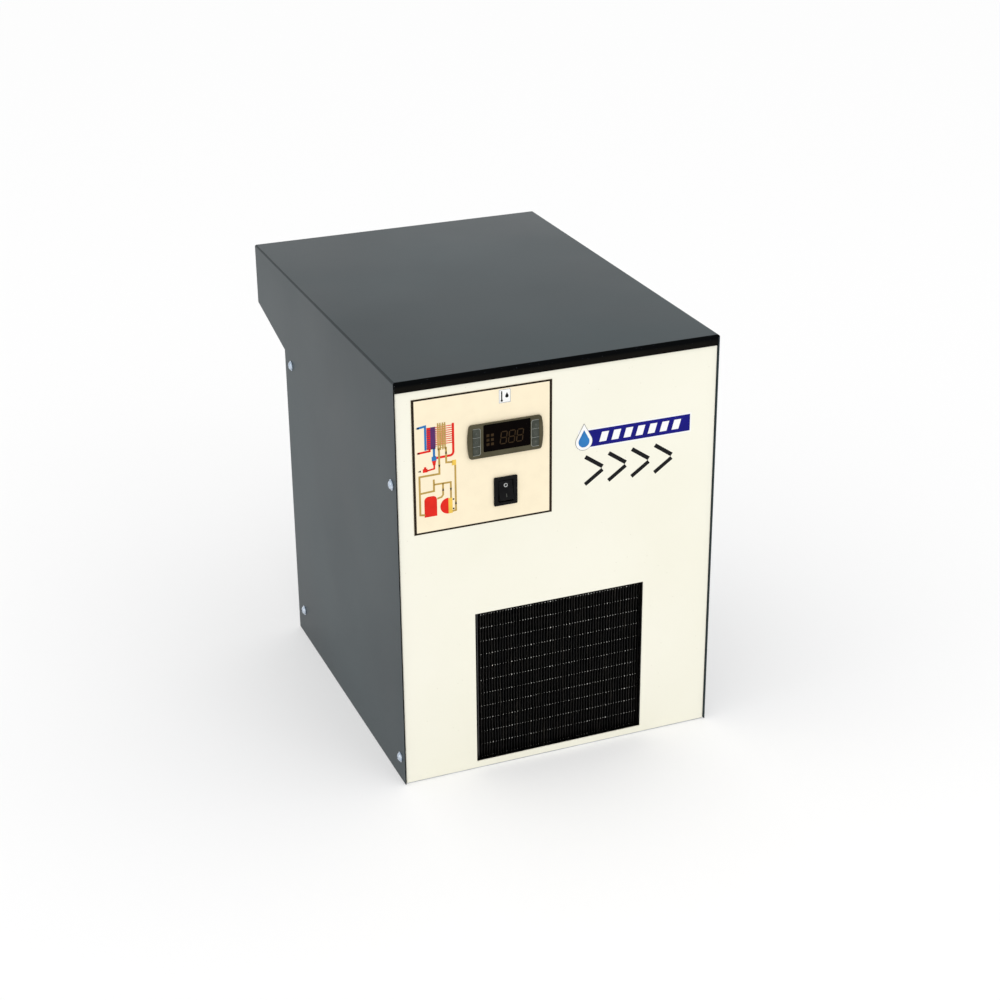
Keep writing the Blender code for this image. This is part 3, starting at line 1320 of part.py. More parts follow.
def make_filter_drier():
    """Spun copper drier, upright, with a cone at each end."""
    neck = LINE_RADIUS
    top = DRIER_BOTTOM + DRIER_LENGTH
    profile = [
        (0, DRIER_BOTTOM), (neck, DRIER_BOTTOM), (DRIER_RADIUS, DRIER_BOTTOM + DRIER_CONE),
        (DRIER_RADIUS, top - DRIER_CONE), (neck, top), (0, top),
    ]
    drier = new_object("filter_drier", new_turned(
        profile, "Z", place(DRIER_X, DRIER_DEPTH, 0), 16))
    finish(drier, *COPPER, smooth=True)


def make_capillary():
    """Thin expansion tube: up from the drier, a few turns, and across to the exchanger."""
    hole_x, hole_z, _ = refrigerant_holes()["capillary"]
    coil_bottom = DISCHARGE_HEIGHT + COIL_RISE
    centre_x = DRIER_X + COIL_RADIUS
    steps = int(COIL_TURNS * 8)
    route = [place(DRIER_X, DRIER_DEPTH, DRIER_BOTTOM + DRIER_LENGTH + GAP)]
    for step in range(steps + 1):
        turns = COIL_TURNS * step / steps
        x, depth = polar(math.pi + math.tau * turns, COIL_RADIUS)
        route.append(place(centre_x + x, DRIER_DEPTH + depth, coil_bottom + COIL_PITCH * turns))
    coil_top = route[-1].z
    corners = [
        route[-1] + Vector((0, CAPILLARY_LEAD, 0)),
        place(centre_x + COIL_RADIUS, DRIER_DEPTH + CAPILLARY_BACK, coil_top),
        place(hole_x, DRIER_DEPTH + CAPILLARY_BACK, coil_top),
        place(hole_x, DRIER_DEPTH + CAPILLARY_BACK, hole_z),
        place(hole_x, EXCHANGER_FRONT - GAP, hole_z),
    ]
    route += rounded_route(corners, LINE_BEND * TIGHT_BEND_SHARE, 3)[1:]
    finish(new_pipe("capillary_tube", route, CAPILLARY_RADIUS, 6), *COPPER)


def make_bypass():
    """Hot-gas bypass: a line from the discharge side to an adjustable valve."""
    column_x, column_depth = suction_column()
    valve_end = column_x - SUCTION_RADIUS - GAP
    valve_start = valve_end - VALVE_LENGTH
    ends = VALVE_LENGTH * VALVE_END_SHARE
    profile = [
        (0, 0), (LINE_RADIUS, 0), (LINE_RADIUS, ends), (VALVE_RADIUS, ends),
        (VALVE_RADIUS, VALVE_LENGTH - ends), (LINE_RADIUS, VALVE_LENGTH - ends),
        (LINE_RADIUS, VALVE_LENGTH), (0, VALVE_LENGTH),
    ]
    start = place(valve_start, column_depth, VALVE_HEIGHT)
    valve = new_object("hot_gas_valve", new_turned(profile, "X", start, 12))
    bonnet = place(valve_start + VALVE_LENGTH / 2, column_depth, VALVE_HEIGHT)
    add(valve, new_rod("Z", bonnet, VALVE_RADIUS * BONNET_SHARE, 0, BONNET_HEIGHT, 6))
    finish(valve, *BRASS)

    knee_x = LINE_X + BYPASS_REACH
    corners = [
        place(LINE_X + LINE_RADIUS + GAP, BYPASS_DEPTH, DISCHARGE_HEIGHT),
        place(knee_x, BYPASS_DEPTH, DISCHARGE_HEIGHT),
        place(knee_x, BYPASS_DEPTH, VALVE_HEIGHT),
        place(knee_x, column_depth, VALVE_HEIGHT),
        place(valve_start - GAP, column_depth, VALVE_HEIGHT),
    ]
    route = rounded_route(corners, LINE_BEND * BYPASS_BEND_SHARE)
    line = new_pipe("bypass_line", route, LINE_RADIUS * BYPASS_RADIUS_SHARE)
    finish(line, *COPPER)


def build():
    remove_everything()
    make_base_pan()
    make_cover()
    make_front_panel()
    make_rear_panel()
    make_cover_screws()
    make_control_overlay()
    make_controller()
    make_switch()
    make_condenser_fins()
    make_end_plates()
    make_condenser_tube()
    make_fan_shroud()
    make_fan()
    make_compressor_shell()
    make_compressor_inside()
    make_compressor_fittings()
    make_heat_exchanger()
    make_insulation()
    make_exchanger_stand()
    make_air_pipes()
    make_drain_valve()
    make_drain_outlet()
    make_power_inlet()
    make_discharge_line()
    make_suction_line()
    make_liquid_line()
    make_filter_drier()
    make_capillary()
    make_bypass()


build()
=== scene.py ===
# %% [markdown]
# # A refrigerated air dryer, from sheet metal to printed label
#
# The machine dries compressed air by chilling it. A folded steel cover hides a cold circuit,
# and the front shows a cream panel, a condenser behind an opening, a small controller and a
# rocker switch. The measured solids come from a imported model, and this lesson dresses them:
# it rounds the folds, adds the fine parts and mixes every finish from shader nodes.

# %% Load the fixed frame
import json
import math

import bmesh
import bpy
from mathutils import Matrix, Vector, noise


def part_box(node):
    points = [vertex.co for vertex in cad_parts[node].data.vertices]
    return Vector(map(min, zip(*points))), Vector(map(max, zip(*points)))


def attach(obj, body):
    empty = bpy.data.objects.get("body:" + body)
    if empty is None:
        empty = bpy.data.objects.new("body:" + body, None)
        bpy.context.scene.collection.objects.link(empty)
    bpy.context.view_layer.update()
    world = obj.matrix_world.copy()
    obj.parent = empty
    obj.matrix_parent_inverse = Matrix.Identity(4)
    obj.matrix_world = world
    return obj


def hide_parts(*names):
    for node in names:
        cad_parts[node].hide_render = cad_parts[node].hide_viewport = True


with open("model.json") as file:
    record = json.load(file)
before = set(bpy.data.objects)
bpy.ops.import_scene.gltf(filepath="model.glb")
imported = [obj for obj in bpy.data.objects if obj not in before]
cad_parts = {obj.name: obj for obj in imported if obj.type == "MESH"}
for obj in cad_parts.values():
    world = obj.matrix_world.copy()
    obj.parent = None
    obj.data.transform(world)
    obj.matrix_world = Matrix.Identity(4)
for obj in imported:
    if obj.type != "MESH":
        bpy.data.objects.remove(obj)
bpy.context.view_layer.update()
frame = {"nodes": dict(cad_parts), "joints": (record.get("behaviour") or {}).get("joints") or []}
nodes = frame["nodes"]

# %% [markdown]
# ## Where things are
#
# Every place in this lesson is counted from the measured solids, so that nothing has to be
# fitted by eye. Width runs along X, depth is counted back from the face of the cover's lip,
# and height is counted from the floor. Three small helpers turn those measures into places.

# %% Places taken from the solids
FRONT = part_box("cover")[0].y
SHEET = 0.0012


def spot(x, depth, z):
    """A point from its width, its depth behind the lip's face and its height."""
    return Vector((x, FRONT + depth, z))


def middle(node):
    """The centre of a solid's box."""
    low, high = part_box(node)
    return (low + high) / 2


def depth_of(node):
    """How far behind the lip's face a solid starts."""
    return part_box(node)[0].y - FRONT


cover_low, cover_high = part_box("cover")
HEIGHT = cover_high.z
HALF_WIDTH = cover_high.x
print("cover:", [round(1000 * size, 1) for size in cover_high - cover_low], "mm")

# %% [markdown]
# ## The camera
#
# A product picture of a cabinet is taken from a little above and from one side, so that
# three faces show. A long lens keeps the upright edges nearly parallel. The camera's turn is
# built from three plain angles instead of a tracking constraint, because a small roll is then
# easy to add.

# %% Set up the camera
YAW = math.radians(21.81)
PITCH = math.radians(24.49)
ROLL = math.radians(-0.48)
CAMERA_PLACE = Vector((-0.7698, -2.0040, 1.1841))
LENS = 70.59


def camera_turn(yaw, pitch, roll):
    """A turn that looks along +Y, swings towards +X, tips down and then rolls."""
    swing = Matrix.Rotation(-yaw, 3, "Z")
    tip = Matrix.Rotation(math.pi / 2 - pitch, 3, "X")
    return (swing @ tip @ Matrix.Rotation(roll, 3, "Z")).to_4x4()


lens = bpy.data.cameras.new("camera")
lens.lens = LENS
lens.sensor_width = 36
lens.clip_start = 0.05
camera = bpy.data.objects.new("camera", lens)
camera.matrix_world = Matrix.Translation(CAMERA_PLACE) @ camera_turn(YAW, PITCH, ROLL)
bpy.context.scene.collection.objects.link(camera)
bpy.context.scene.camera = camera
print("camera", [round(value, 3) for value in CAMERA_PLACE], "lens", LENS, "mm")

# %% [markdown]
# ## The studio
#
# The machine stands on a large flat white sheet in a plain white room. The sheet glows a
# little, as a light table does, so that the shadow under the machine stays pale and the
# sheet's far edge melts into the room. A large soft lamp in front and above lifts the cream
# panel, and a weaker one at the left puts a soft sheen on the dark paint.

# %% Floor, world and lamps
ROOM_LIGHT = 1.0
SHEET_REACH = 7
SHEET_WHITE = 0.66
SHEET_GLOW = 0.32
AIM = Vector((0, 0, 0.25))


def make_floor():
    """A large white sheet under the machine, glowing a little."""
    mesh = bmesh.new()
    bmesh.ops.create_grid(mesh, x_segments=4, y_segments=4, size=SHEET_REACH)
    data = bpy.data.meshes.new("studio_floor")
    mesh.to_mesh(data)
    mesh.free()
    floor = bpy.data.objects.new("studio_floor", data)
    bpy.context.scene.collection.objects.link(floor)
    paper = bpy.data.materials.new("white_paper")
    paper.use_nodes = True
    shader = paper.node_tree.nodes["Principled BSDF"]
    shader.inputs["Base Color"].default_value = (SHEET_WHITE, SHEET_WHITE, SHEET_WHITE, 1)
    shader.inputs["Emission Color"].default_value = (1, 1, 1, 1)
    shader.inputs["Emission Strength"].default_value = SHEET_GLOW
    shader.inputs["Roughness"].default_value = 0.9
    shader.inputs["Specular IOR Level"].default_value = 0.0
    data.materials.append(paper)


def make_room():
    """An even white world."""
    world = bpy.data.worlds.new("white_room")
    world.use_nodes = True
    back = world.node_tree.nodes["Background"]
    back.inputs["Color"].default_value = (1, 1, 1, 1)
    back.inputs["Strength"].default_value = ROOM_LIGHT
    bpy.context.scene.world = world


def add_lamp(name, place, size, power):
    """A square soft lamp that faces the middle of the machine."""
    light = bpy.data.lights.new(name, "AREA")
    light.shape = "SQUARE"
    light.size = size
    light.energy = power
    lamp = bpy.data.objects.new(name, light)
    lamp.location = place
    lamp.rotation_euler = (AIM - Vector(place)).to_track_quat("-Z", "Y").to_euler()
    bpy.context.scene.collection.objects.link(lamp)


make_floor()
make_room()
add_lamp("front_softbox", place=(0.9, -2.4, 1.9), size=1.4, power=7)
add_lamp("left_softbox", place=(-2.2, -0.3, 1.2), size=1.2, power=3)
bpy.context.scene.view_settings.view_transform = "Standard"
print("lamps:", len(bpy.data.lights))

# %% [markdown]
# ## Mixing a finish
#
# A painted or moulded surface is never one even colour. Each finish below starts from one
# Principled shader. A noise pattern drifts its colour and its roughness a little, and a much
# finer one makes the bumps that the light catches. Patterns that follow Object coordinates
# stay put on the part and keep their true size, so a scale is written in patterns per metre.

# %% Shader helpers


def new_finish(name, roughness=0.5, metallic=0.0, specular=0.5):
    """A material with its Principled shader, ready for patterns."""
    finish = bpy.data.materials.new(name)
    finish.use_nodes = True
    shader = finish.node_tree.nodes["Principled BSDF"]
    shader.inputs["Roughness"].default_value = roughness
    shader.inputs["Metallic"].default_value = metallic
    shader.inputs["Specular IOR Level"].default_value = specular
    return finish, finish.node_tree, shader


def object_places(tree):
    """The socket that gives a point's place on the object."""
    return tree.nodes.new("ShaderNodeTexCoord").outputs["Object"]


def stretched(tree, scale):
    """Places stretched by three factors, for grain that runs one way."""
    mapping = tree.nodes.new("ShaderNodeMapping")
    mapping.inputs["Scale"].default_value = scale
    tree.links.new(object_places(tree), mapping.inputs["Vector"])
    return mapping.outputs["Vector"]


def noise_pattern(tree, scale, detail=3.0, places=None):
    """Cloudy noise, as a number around one half."""
    pattern = tree.nodes.new("ShaderNodeTexNoise")
    pattern.inputs["Scale"].default_value = scale
    pattern.inputs["Detail"].default_value = detail
    tree.links.new(places or object_places(tree), pattern.inputs["Vector"])
    return pattern.outputs["Fac"]


def cell_pattern(tree, scale, output="Distance"):
    """Voronoi cells: the distance to each cell's heart, or a colour for each cell."""
    pattern = tree.nodes.new("ShaderNodeTexVoronoi")
    pattern.inputs["Scale"].default_value = scale
    tree.links.new(object_places(tree), pattern.inputs["Vector"])
    return pattern.outputs[output]


def ramp(tree, source, *stops):
    """Colours along a number, each stop as (position, colour)."""
    node = tree.nodes.new("ShaderNodeValToRGB")
    marks = node.color_ramp.elements
    while len(marks) < len(stops):
        marks.new(0.5)
    for mark, (position, colour) in zip(marks, stops):
        mark.position = position
        mark.color = (*colour, 1)
    tree.links.new(source, node.inputs["Fac"])
    return node.outputs["Color"]


def remap(tree, source, low, high, from_low=0.3, from_high=0.7):
    """A number moved from one range to another."""
    node = tree.nodes.new("ShaderNodeMapRange")
    node.inputs["From Min"].default_value = from_low
    node.inputs["From Max"].default_value = from_high
    node.inputs["To Min"].default_value = low
    node.inputs["To Max"].default_value = high
    tree.links.new(source, node.inputs["Value"])
    return node.outputs["Result"]


def blend(tree, share, first, second):
    """One colour socket over another, by a share."""
    node = tree.nodes.new("ShaderNodeMix")
    node.data_type = "RGBA"
    tree.links.new(share, node.inputs["Factor"])
    tree.links.new(first, node.inputs["A"])
    tree.links.new(second, node.inputs["B"])
    return node.outputs["Result"]


def add_bump(tree, shader, height, depth, strength=1.0):
    """Raise the surface by a pattern, with its depth in metres."""
    bump = tree.nodes.new("ShaderNodeBump")
    bump.inputs["Distance"].default_value = depth
    bump.inputs["Strength"].default_value = strength
    tree.links.new(height, bump.inputs["Height"])
    earlier = shader.inputs["Normal"].links
    if earlier:
        tree.links.new(earlier[0].from_socket, bump.inputs["Normal"])
    tree.links.new(bump.outputs["Normal"], shader.inputs["Normal"])


def paint(tree, shader, colour):
    """Send a colour socket to the shader's base colour."""
    tree.links.new(colour, shader.inputs["Base Color"])


def dull(tree, shader, value):
    """Send a number socket to the shader's roughness."""
    tree.links.new(value, shader.inputs["Roughness"])


print("pattern helpers ready")

# %% [markdown]
# ## Charcoal powder coat
#
# The cover is sprayed with dry paint powder that melts in an oven. The film comes out with a
# fine orange peel, about a millimetre from crest to crest, and a satin gloss that is a bit
# uneven. The grey that the eye sees is mostly the reflected room, so the paint itself is nearly
# black. One slow noise drifts its hue, a second one its gloss, and two finer ones make the
# peel. The long folds get a darker, less glossy copy of the coat as painted shade. The front
# lip gets a nearly black, hardly glossy copy of its own as painted shade, with a few pale
# specks along its upper fold as painted highlights.

# %% The cover's paint
# Where the painted highlight specks on the lip's upper fold begin and become full, below the top.
PAINTED_GLINTS_FROM = 0.007
PAINTED_GLINTS_FULLY = 0.004


def make_charcoal_coat(name, gloss, tint):
    """Satin textured powder coat, nearly black under its sheen."""
    finish, tree, shader = new_finish(name, 0.42, specular=gloss)
    cool = tuple(tint * part for part in (0.019, 0.036, 0.042))
    warm = tuple(tint * part for part in (0.022, 0.034, 0.039))
    paint(tree, shader, ramp(tree, noise_pattern(tree, 4.0, 2.0), (0.35, cool), (0.65, warm)))
    dull(tree, shader, remap(tree, noise_pattern(tree, 6.0, 4.0), 0.40, 0.44))
    add_bump(tree, shader, noise_pattern(tree, 900.0, 2.0), 0.00003)
    add_bump(tree, shader, noise_pattern(tree, 260.0, 1.0), 0.00004, 0.6)
    return finish


def make_shaded_lip_coat():
    """The cover's paint on the lip, darkened as painted shade, with painted highlight specks along
    its upper fold.
    """
    finish, tree, shader = new_finish("charcoal_coat_with_painted_shade_and_glints_on_the_lip", 0.55, specular=0.03)
    height = tree.nodes.new("ShaderNodeSeparateXYZ")
    tree.links.new(object_places(tree), height.inputs["Vector"])
    fold = remap(
        tree, height.outputs["Z"], 0, 1, HEIGHT - PAINTED_GLINTS_FROM, HEIGHT - PAINTED_GLINTS_FULLY)
    # The lip's nearly black colour is painted shade.
    flat = ramp(
        tree, noise_pattern(tree, 60.0), (0.3, (0.0040, 0.0036, 0.0030)),
        (0.7, (0.0060, 0.0054, 0.0042)))
    # Pale blue-grey specks along the upper fold are painted highlights.
    crest = ramp(
        tree, cell_pattern(tree, 420.0), (0.05, (0.20, 0.24, 0.30)),
        (0.08, (0.0006, 0.0010, 0.0014)))
    paint(tree, shader, blend(tree, fold, flat, crest))
    add_bump(tree, shader, noise_pattern(tree, 700.0), 0.00004)
    return finish


charcoal_coat = make_charcoal_coat("charcoal_powder_coat", gloss=0.25, tint=0.96)
# A darker, less glossy copy of the coat for the long folds: painted shade.
shaded_fold_coat = make_charcoal_coat("charcoal_coat_with_painted_shade_on_the_folds", gloss=0.16, tint=0.6)
# A nearly black, hardly glossy copy of the coat for the lip: painted shade with painted highlight
# specks.
shaded_lip_coat = make_shaded_lip_coat()
print("mixed", charcoal_coat.name, "and", shaded_lip_coat.name)

# %% [markdown]
# ## Cream powder coat
#
# The front panel has a smoother coat in warm white. Its peel is finer and shallower, and a
# few specks of dust lie under the film. They come from solid cells: the surface passes close
# to the heart of only a few of them, and only there does the ramp's dark stop show.

# %% The front panel's paint


def multiplied(tree, share, first, second):
    """One colour socket darkened by another, to a fixed share."""
    node = tree.nodes.new("ShaderNodeMix")
    node.data_type = "RGBA"
    node.blend_type = "MULTIPLY"
    node.inputs["Factor"].default_value = share
    tree.links.new(first, node.inputs["A"])
    tree.links.new(second, node.inputs["B"])
    return node.outputs["Result"]


def make_cream_coat():
    """Smooth warm-white powder coat with a few dust specks."""
    finish, tree, shader = new_finish("cream_powder_coat", 0.38, specular=0.35)
    drift = ramp(
        tree, noise_pattern(tree, 7.0, 3.0), (0.35, (0.885, 0.865, 0.735)),
        (0.65, (0.905, 0.885, 0.765)))
    speck = ramp(
        tree, cell_pattern(tree, 95.0), (0.035, (0.52, 0.49, 0.42)), (0.055, (1, 1, 1)))
    paint(tree, shader, multiplied(tree, 0.35, drift, speck))
    dull(tree, shader, remap(tree, noise_pattern(tree, 15.0), 0.33, 0.42))
    add_bump(tree, shader, noise_pattern(tree, 700.0, 1.0), 0.00002, 0.7)
    return finish


cream_coat = make_cream_coat()
print("mixed", cream_coat.name)

# %% [markdown]
# ## Metals and plastics
#
# The rest of the machine is plain stock: galvanised sheet with its crystal spangle, zinc
# screws, drawn copper, brass fittings, aluminium, black enamel, foam and rubber. Most share
# one recipe, so one function mixes them from a few values: two colours to drift between, a
# range of roughness, and the size and depth of the grain. Stretching the grain along one
# axis turns noise into drawing or machining marks.

# %% Stock finishes


def make_stock(
        name, dark, light, gloss, grain, depth, metallic=0.0, stretch=None, patch=25.0,
        specular=0.5):
    """A finish that drifts between two colours, with a fine grain."""
    finish, tree, shader = new_finish(name, gloss[0], metallic, specular)
    paint(tree, shader, ramp(tree, noise_pattern(tree, patch), (0.35, dark), (0.65, light)))
    dull(tree, shader, remap(tree, noise_pattern(tree, patch * 1.7, 4.0), *gloss))
    places = stretched(tree, stretch) if stretch else None
    add_bump(tree, shader, noise_pattern(tree, grain, 3.0, places), depth)
    return finish


def make_galvanised():
    """Zinc-dipped sheet, with flat crystals that each mirror the room in their own way."""
    finish, tree, shader = new_finish("galvanised_sheet", 0.4, 0.9)
    crystals = tree.nodes.new("ShaderNodeSeparateColor")
    tree.links.new(cell_pattern(tree, 110.0, "Color"), crystals.inputs["Color"])
    tone = crystals.outputs["Red"]
    paint(tree, shader, ramp(tree, tone, (0.0, (0.42, 0.44, 0.46)), (1.0, (0.64, 0.66, 0.68))))
    dull(tree, shader, remap(tree, tone, 0.28, 0.5, 0, 1))
    add_bump(tree, shader, noise_pattern(tree, 500.0), 0.00002)
    return finish


galvanised = make_galvanised()
bright_zinc = make_stock(
    "bright_zinc_plate", (0.42, 0.50, 0.60), (0.66, 0.72, 0.80), (0.18, 0.32), 1500.0,
    0.00001, 1.0, patch=260.0)
copper = make_stock(
    "drawn_copper", (0.55, 0.22, 0.11), (0.80, 0.40, 0.25), (0.25, 0.42), 600.0, 0.00001, 1.0)
brass = make_stock(
    "machined_brass", (0.62, 0.44, 0.18), (0.80, 0.62, 0.32), (0.20, 0.34), 900.0, 0.00001,
    1.0, stretch=(1, 6, 1), patch=120.0)
aluminium = make_stock(
    "mill_aluminium", (0.62, 0.63, 0.65), (0.78, 0.79, 0.80), (0.28, 0.42), 400.0, 0.00001,
    1.0, stretch=(8, 1, 1))
steel = make_stock(
    "machined_steel", (0.36, 0.36, 0.38), (0.52, 0.52, 0.54), (0.22, 0.38), 800.0, 0.00001,
    1.0, stretch=(1, 1, 9))
enamel = make_stock(
    "black_enamel", (0.008, 0.008, 0.009), (0.020, 0.019, 0.019), (0.25, 0.42), 450.0,
    0.00002)
black_plastic = make_stock(
    "black_moulding", (0.0035, 0.0035, 0.0040), (0.0065, 0.0065, 0.0070), (0.26, 0.38),
    1400.0, 0.00001, patch=90.0, specular=0.07)
foam = make_stock(
    "closed_cell_foam", (0.014, 0.014, 0.015), (0.034, 0.034, 0.036), (0.80, 0.95), 700.0,
    0.0002)
rubber = make_stock(
    "moulded_rubber", (0.012, 0.012, 0.012), (0.026, 0.025, 0.024), (0.65, 0.85), 500.0,
    0.00004)
hose_plastic = make_stock(
    "soft_hose", (0.03, 0.06, 0.13), (0.06, 0.10, 0.19), (0.22, 0.35), 300.0, 0.00002)
print("finishes so far:", len(bpy.data.materials))

# %% [markdown]
# ## Modelling helpers
#
# Sheet metal and mouldings are blocks with something taken away and their edges eased. The
# helpers make a block, push an outline along an axis, turn a profile about an axis, ease
# chosen edges and cut one shape with another. Meshes are kept in world places, so an object
# never needs moving afterwards.

# %% Mesh helpers
AXES = {
    "X": Matrix(((0, 0, 1), (1, 0, 0), (0, 1, 0))).to_4x4(),
    "Y": Matrix(((1, 0, 0), (0, 0, 1), (0, 1, 0))).to_4x4(),
    "Z": Matrix.Identity(4),
}


def block(low, high):
    """A block between two corners."""
    mesh = bmesh.new()
    bmesh.ops.create_cube(mesh, size=1)
    bmesh.ops.scale(mesh, vec=high - low, verts=mesh.verts)
    bmesh.ops.translate(mesh, vec=(low + high) / 2, verts=mesh.verts)
    return mesh


def pushed(outline, axis, start, end):
    """An outline of two coordinates, pushed along the third axis."""
    mesh = bmesh.new()
    face = mesh.faces.new([mesh.verts.new((across, up, start)) for across, up in outline])
    made = bmesh.ops.extrude_face_region(mesh, geom=[face])["geom"]
    moved = [part for part in made if isinstance(part, bmesh.types.BMVert)]
    bmesh.ops.translate(mesh, vec=(0, 0, end - start), verts=moved)
    bmesh.ops.transform(mesh, matrix=AXES[axis], verts=mesh.verts)
    bmesh.ops.recalc_face_normals(mesh, faces=mesh.faces)
    return mesh


def turned(profile, axis, centre, segments=48):
    """A profile of (radius, distance) turned about an axis through a centre."""
    mesh = bmesh.new()
    points = [mesh.verts.new((radius, 0, along)) for radius, along in profile]
    edges = [mesh.edges.new(pair) for pair in zip(points, points[1:])]
    bmesh.ops.spin(
        mesh, geom=points + edges, axis=(0, 0, 1), cent=(0, 0, 0), angle=math.tau,
        steps=segments, use_merge=True)
    bmesh.ops.remove_doubles(mesh, verts=mesh.verts, dist=1e-6)
    bmesh.ops.transform(mesh, matrix=AXES[axis], verts=mesh.verts)
    bmesh.ops.translate(mesh, vec=centre, verts=mesh.verts)
    bmesh.ops.recalc_face_normals(mesh, faces=mesh.faces)
    return mesh


def ease(mesh, radius, chosen, segments=4):
    """Round the edges that a test chooses by their middle and their direction."""
    edges = []
    for edge in mesh.edges:
        first, second = (corner.co for corner in edge.verts)
        if chosen((first + second) / 2, (second - first).normalized()):
            edges.append(edge)
    bmesh.ops.bevel(
        mesh, geom=edges, offset=radius, offset_type="OFFSET", segments=segments,
        profile=0.5, affect="EDGES", clamp_overlap=True)
    return mesh


def drill(axis, centre, radius, reach, segments=24):
    """A round cutter along an axis, reaching as far on both sides of its centre."""
    profile = [(0, -reach), (radius, -reach), (radius, reach), (0, reach)]
    return turned(profile, axis, Vector(centre), segments)


def facing(y):
    """A test that chooses the edges lying in the plane at this Y."""
    return lambda point, way: abs(point.y - y) < 1e-5


def along_depth(point, way):
    """A test that chooses the edges running from front to back."""
    return abs(way.y) > 0.9


def joined(*meshes):
    """Several meshes in one."""
    whole = bmesh.new()
    for mesh in meshes:
        holder = bpy.data.meshes.new("holder")
        mesh.to_mesh(holder)
        mesh.free()
        whole.from_mesh(holder)
        bpy.data.meshes.remove(holder)
    return whole


def new_piece(name, mesh, finish, body, slot, *stands_for):
    """A piece of the machine: its mesh, finish, body and the solids it stands for. The slot is not
    used.
    """
    data = bpy.data.meshes.new(name)
    mesh.to_mesh(data)
    mesh.free()
    data.materials.append(finish)
    piece = bpy.data.objects.new(name, data)
    bpy.context.scene.collection.objects.link(piece)
    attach(piece, body)
    if stands_for:
        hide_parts(*stands_for)
    return piece


def carve(piece, mesh, operation="DIFFERENCE"):
    """Cut a mesh out of a piece, or join it on with UNION."""
    data = bpy.data.meshes.new("tool")
    mesh.to_mesh(data)
    mesh.free()
    tool = bpy.data.objects.new("tool", data)
    bpy.context.scene.collection.objects.link(tool)
    boolean = piece.modifiers.new("carve", "BOOLEAN")
    boolean.operation = operation
    boolean.solver = "EXACT"
    boolean.object = tool
    graph = bpy.context.evaluated_depsgraph_get()
    result = bpy.data.meshes.new_from_object(piece.evaluated_get(graph))
    piece.modifiers.clear()
    earlier = piece.data
    piece.data = result
    result.name = piece.name
    bpy.data.meshes.remove(earlier)
    bpy.data.objects.remove(tool)
    bpy.data.meshes.remove(data)


def soften(piece, width=0.0, angle=35, segments=2):
    """Ease every sharp edge by a width, and shade smooth across the easy ones."""
    piece.data.shade_smooth()
    piece.data.set_sharp_from_angle(angle=math.radians(angle))
    if width:
        edge = piece.modifiers.new("eased_edges", "BEVEL")
        edge.width = width
        edge.segments = segments
        edge.limit_method = "ANGLE"
        edge.angle_limit = math.radians(angle)
        edge.harden_normals = True
    return piece


print("helpers ready")

# %% [markdown]
# ## The cover
#
# One sheet of steel makes both sides and the top. It is folded down at the front into a
# narrow lip and at the back into a hood over the connections. A press brake leaves a round
# fold of about two sheet thicknesses, and that soft line is what tells the eye it is sheet.
# The cover is cut from a solid: the outside with its long edges rounded, minus the inside
# with the same edges rounded a sheet less. A narrow slit is left where the lip meets each
# side, because a folded corner is never closed.

# %% Fold the cover
FOLD = 0.0026
LIP_HEIGHT = 0.012
LIP_SLIT = 0.0005
LIP_SLIT_DROP = 0.020
HOOD_FOLD = 0.018
BEYOND = 0.1
REACH = 0.01
SCREW_HOLE = 0.0025
PAINTED_EDGE = 0.00018
# How far the lip's painted shade wraps round its folds.
LIP_WRAP = 0.0019
# How far back the painted shade on the left side's front edges reaches.
EDGE_WRAP = 0.0004


def side_outline():
    """The side wall, as (Y, Z): upright front, flat top and the hood's slope at the back."""
    corners = {(round(v.co.y, 5), round(v.co.z, 5)) for v in nodes["cover"].data.vertices
               if abs(v.co.x - HALF_WIDTH) < 1e-5}
    hood_back = max(y for y, _ in corners)
    wall_back = max(y for y, z in corners if abs(z - cover_low.z) < 1e-4)
    slope_low = max(z for y, z in corners if abs(y - wall_back) < 1e-4)
    slope_high = min(z for y, z in corners if abs(y - hood_back) < 1e-4)
    return [
        (cover_low.y, cover_low.z), (wall_back, cover_low.z), (wall_back, slope_low),
        (hood_back, slope_high), (hood_back, HEIGHT), (cover_low.y, HEIGHT)]


def on_fold(height, half_width):
    """A test that chooses the top's edges: the two long ones, the front and the back one."""
    def chosen(point, direction):
        if abs(point.z - height) > 1e-4:
            return False
        long_edge = abs(direction.y) > 0.9 and abs(abs(point.x) - half_width) < 1e-4
        cross_edge = abs(direction.x) > 0.9
        return long_edge or cross_edge
    return chosen


def hollow_outline():
    """The space inside the cover, open below, in front and at the back, as (Y, Z)."""
    front, back = cover_low.y, cover_high.y
    return [
        (front - BEYOND, -BEYOND), (back + BEYOND, -BEYOND),
        (back + BEYOND, HEIGHT - HOOD_FOLD), (back - SHEET, HEIGHT - HOOD_FOLD),
        (back - SHEET, HEIGHT - SHEET), (front + SHEET, HEIGHT - SHEET),
        (front + SHEET, HEIGHT - LIP_HEIGHT), (front - BEYOND, HEIGHT - LIP_HEIGHT)]


def lip_slits():
    """Thin cutters in the two corners where the lip meets the side walls."""
    slits = []
    for sign in (-1, 1):
        x = sign * (HALF_WIDTH - SHEET - LIP_SLIT / 2)
        slits.append(block(
            spot(x - LIP_SLIT / 2, -REACH, HEIGHT - LIP_SLIT_DROP),
            spot(x + LIP_SLIT / 2, SHEET + 0.0002, HEIGHT - FOLD)))
    return joined(*slits)


def screw_spots(end=""):
    """Each cover screw's name with its centre, all of them or those at one end."""
    return {
        name: middle(name) for name in nodes if name.startswith("cover_screw") and end in name}


def screw_holes(wall, end=""):
    """Cutters for the screw holes in two side walls that stand this far out."""
    return joined(*[
        drill("X", (math.copysign(wall, centre.x), centre.y, centre.z), SCREW_HOLE, REACH)
        for centre in screw_spots(end).values()])


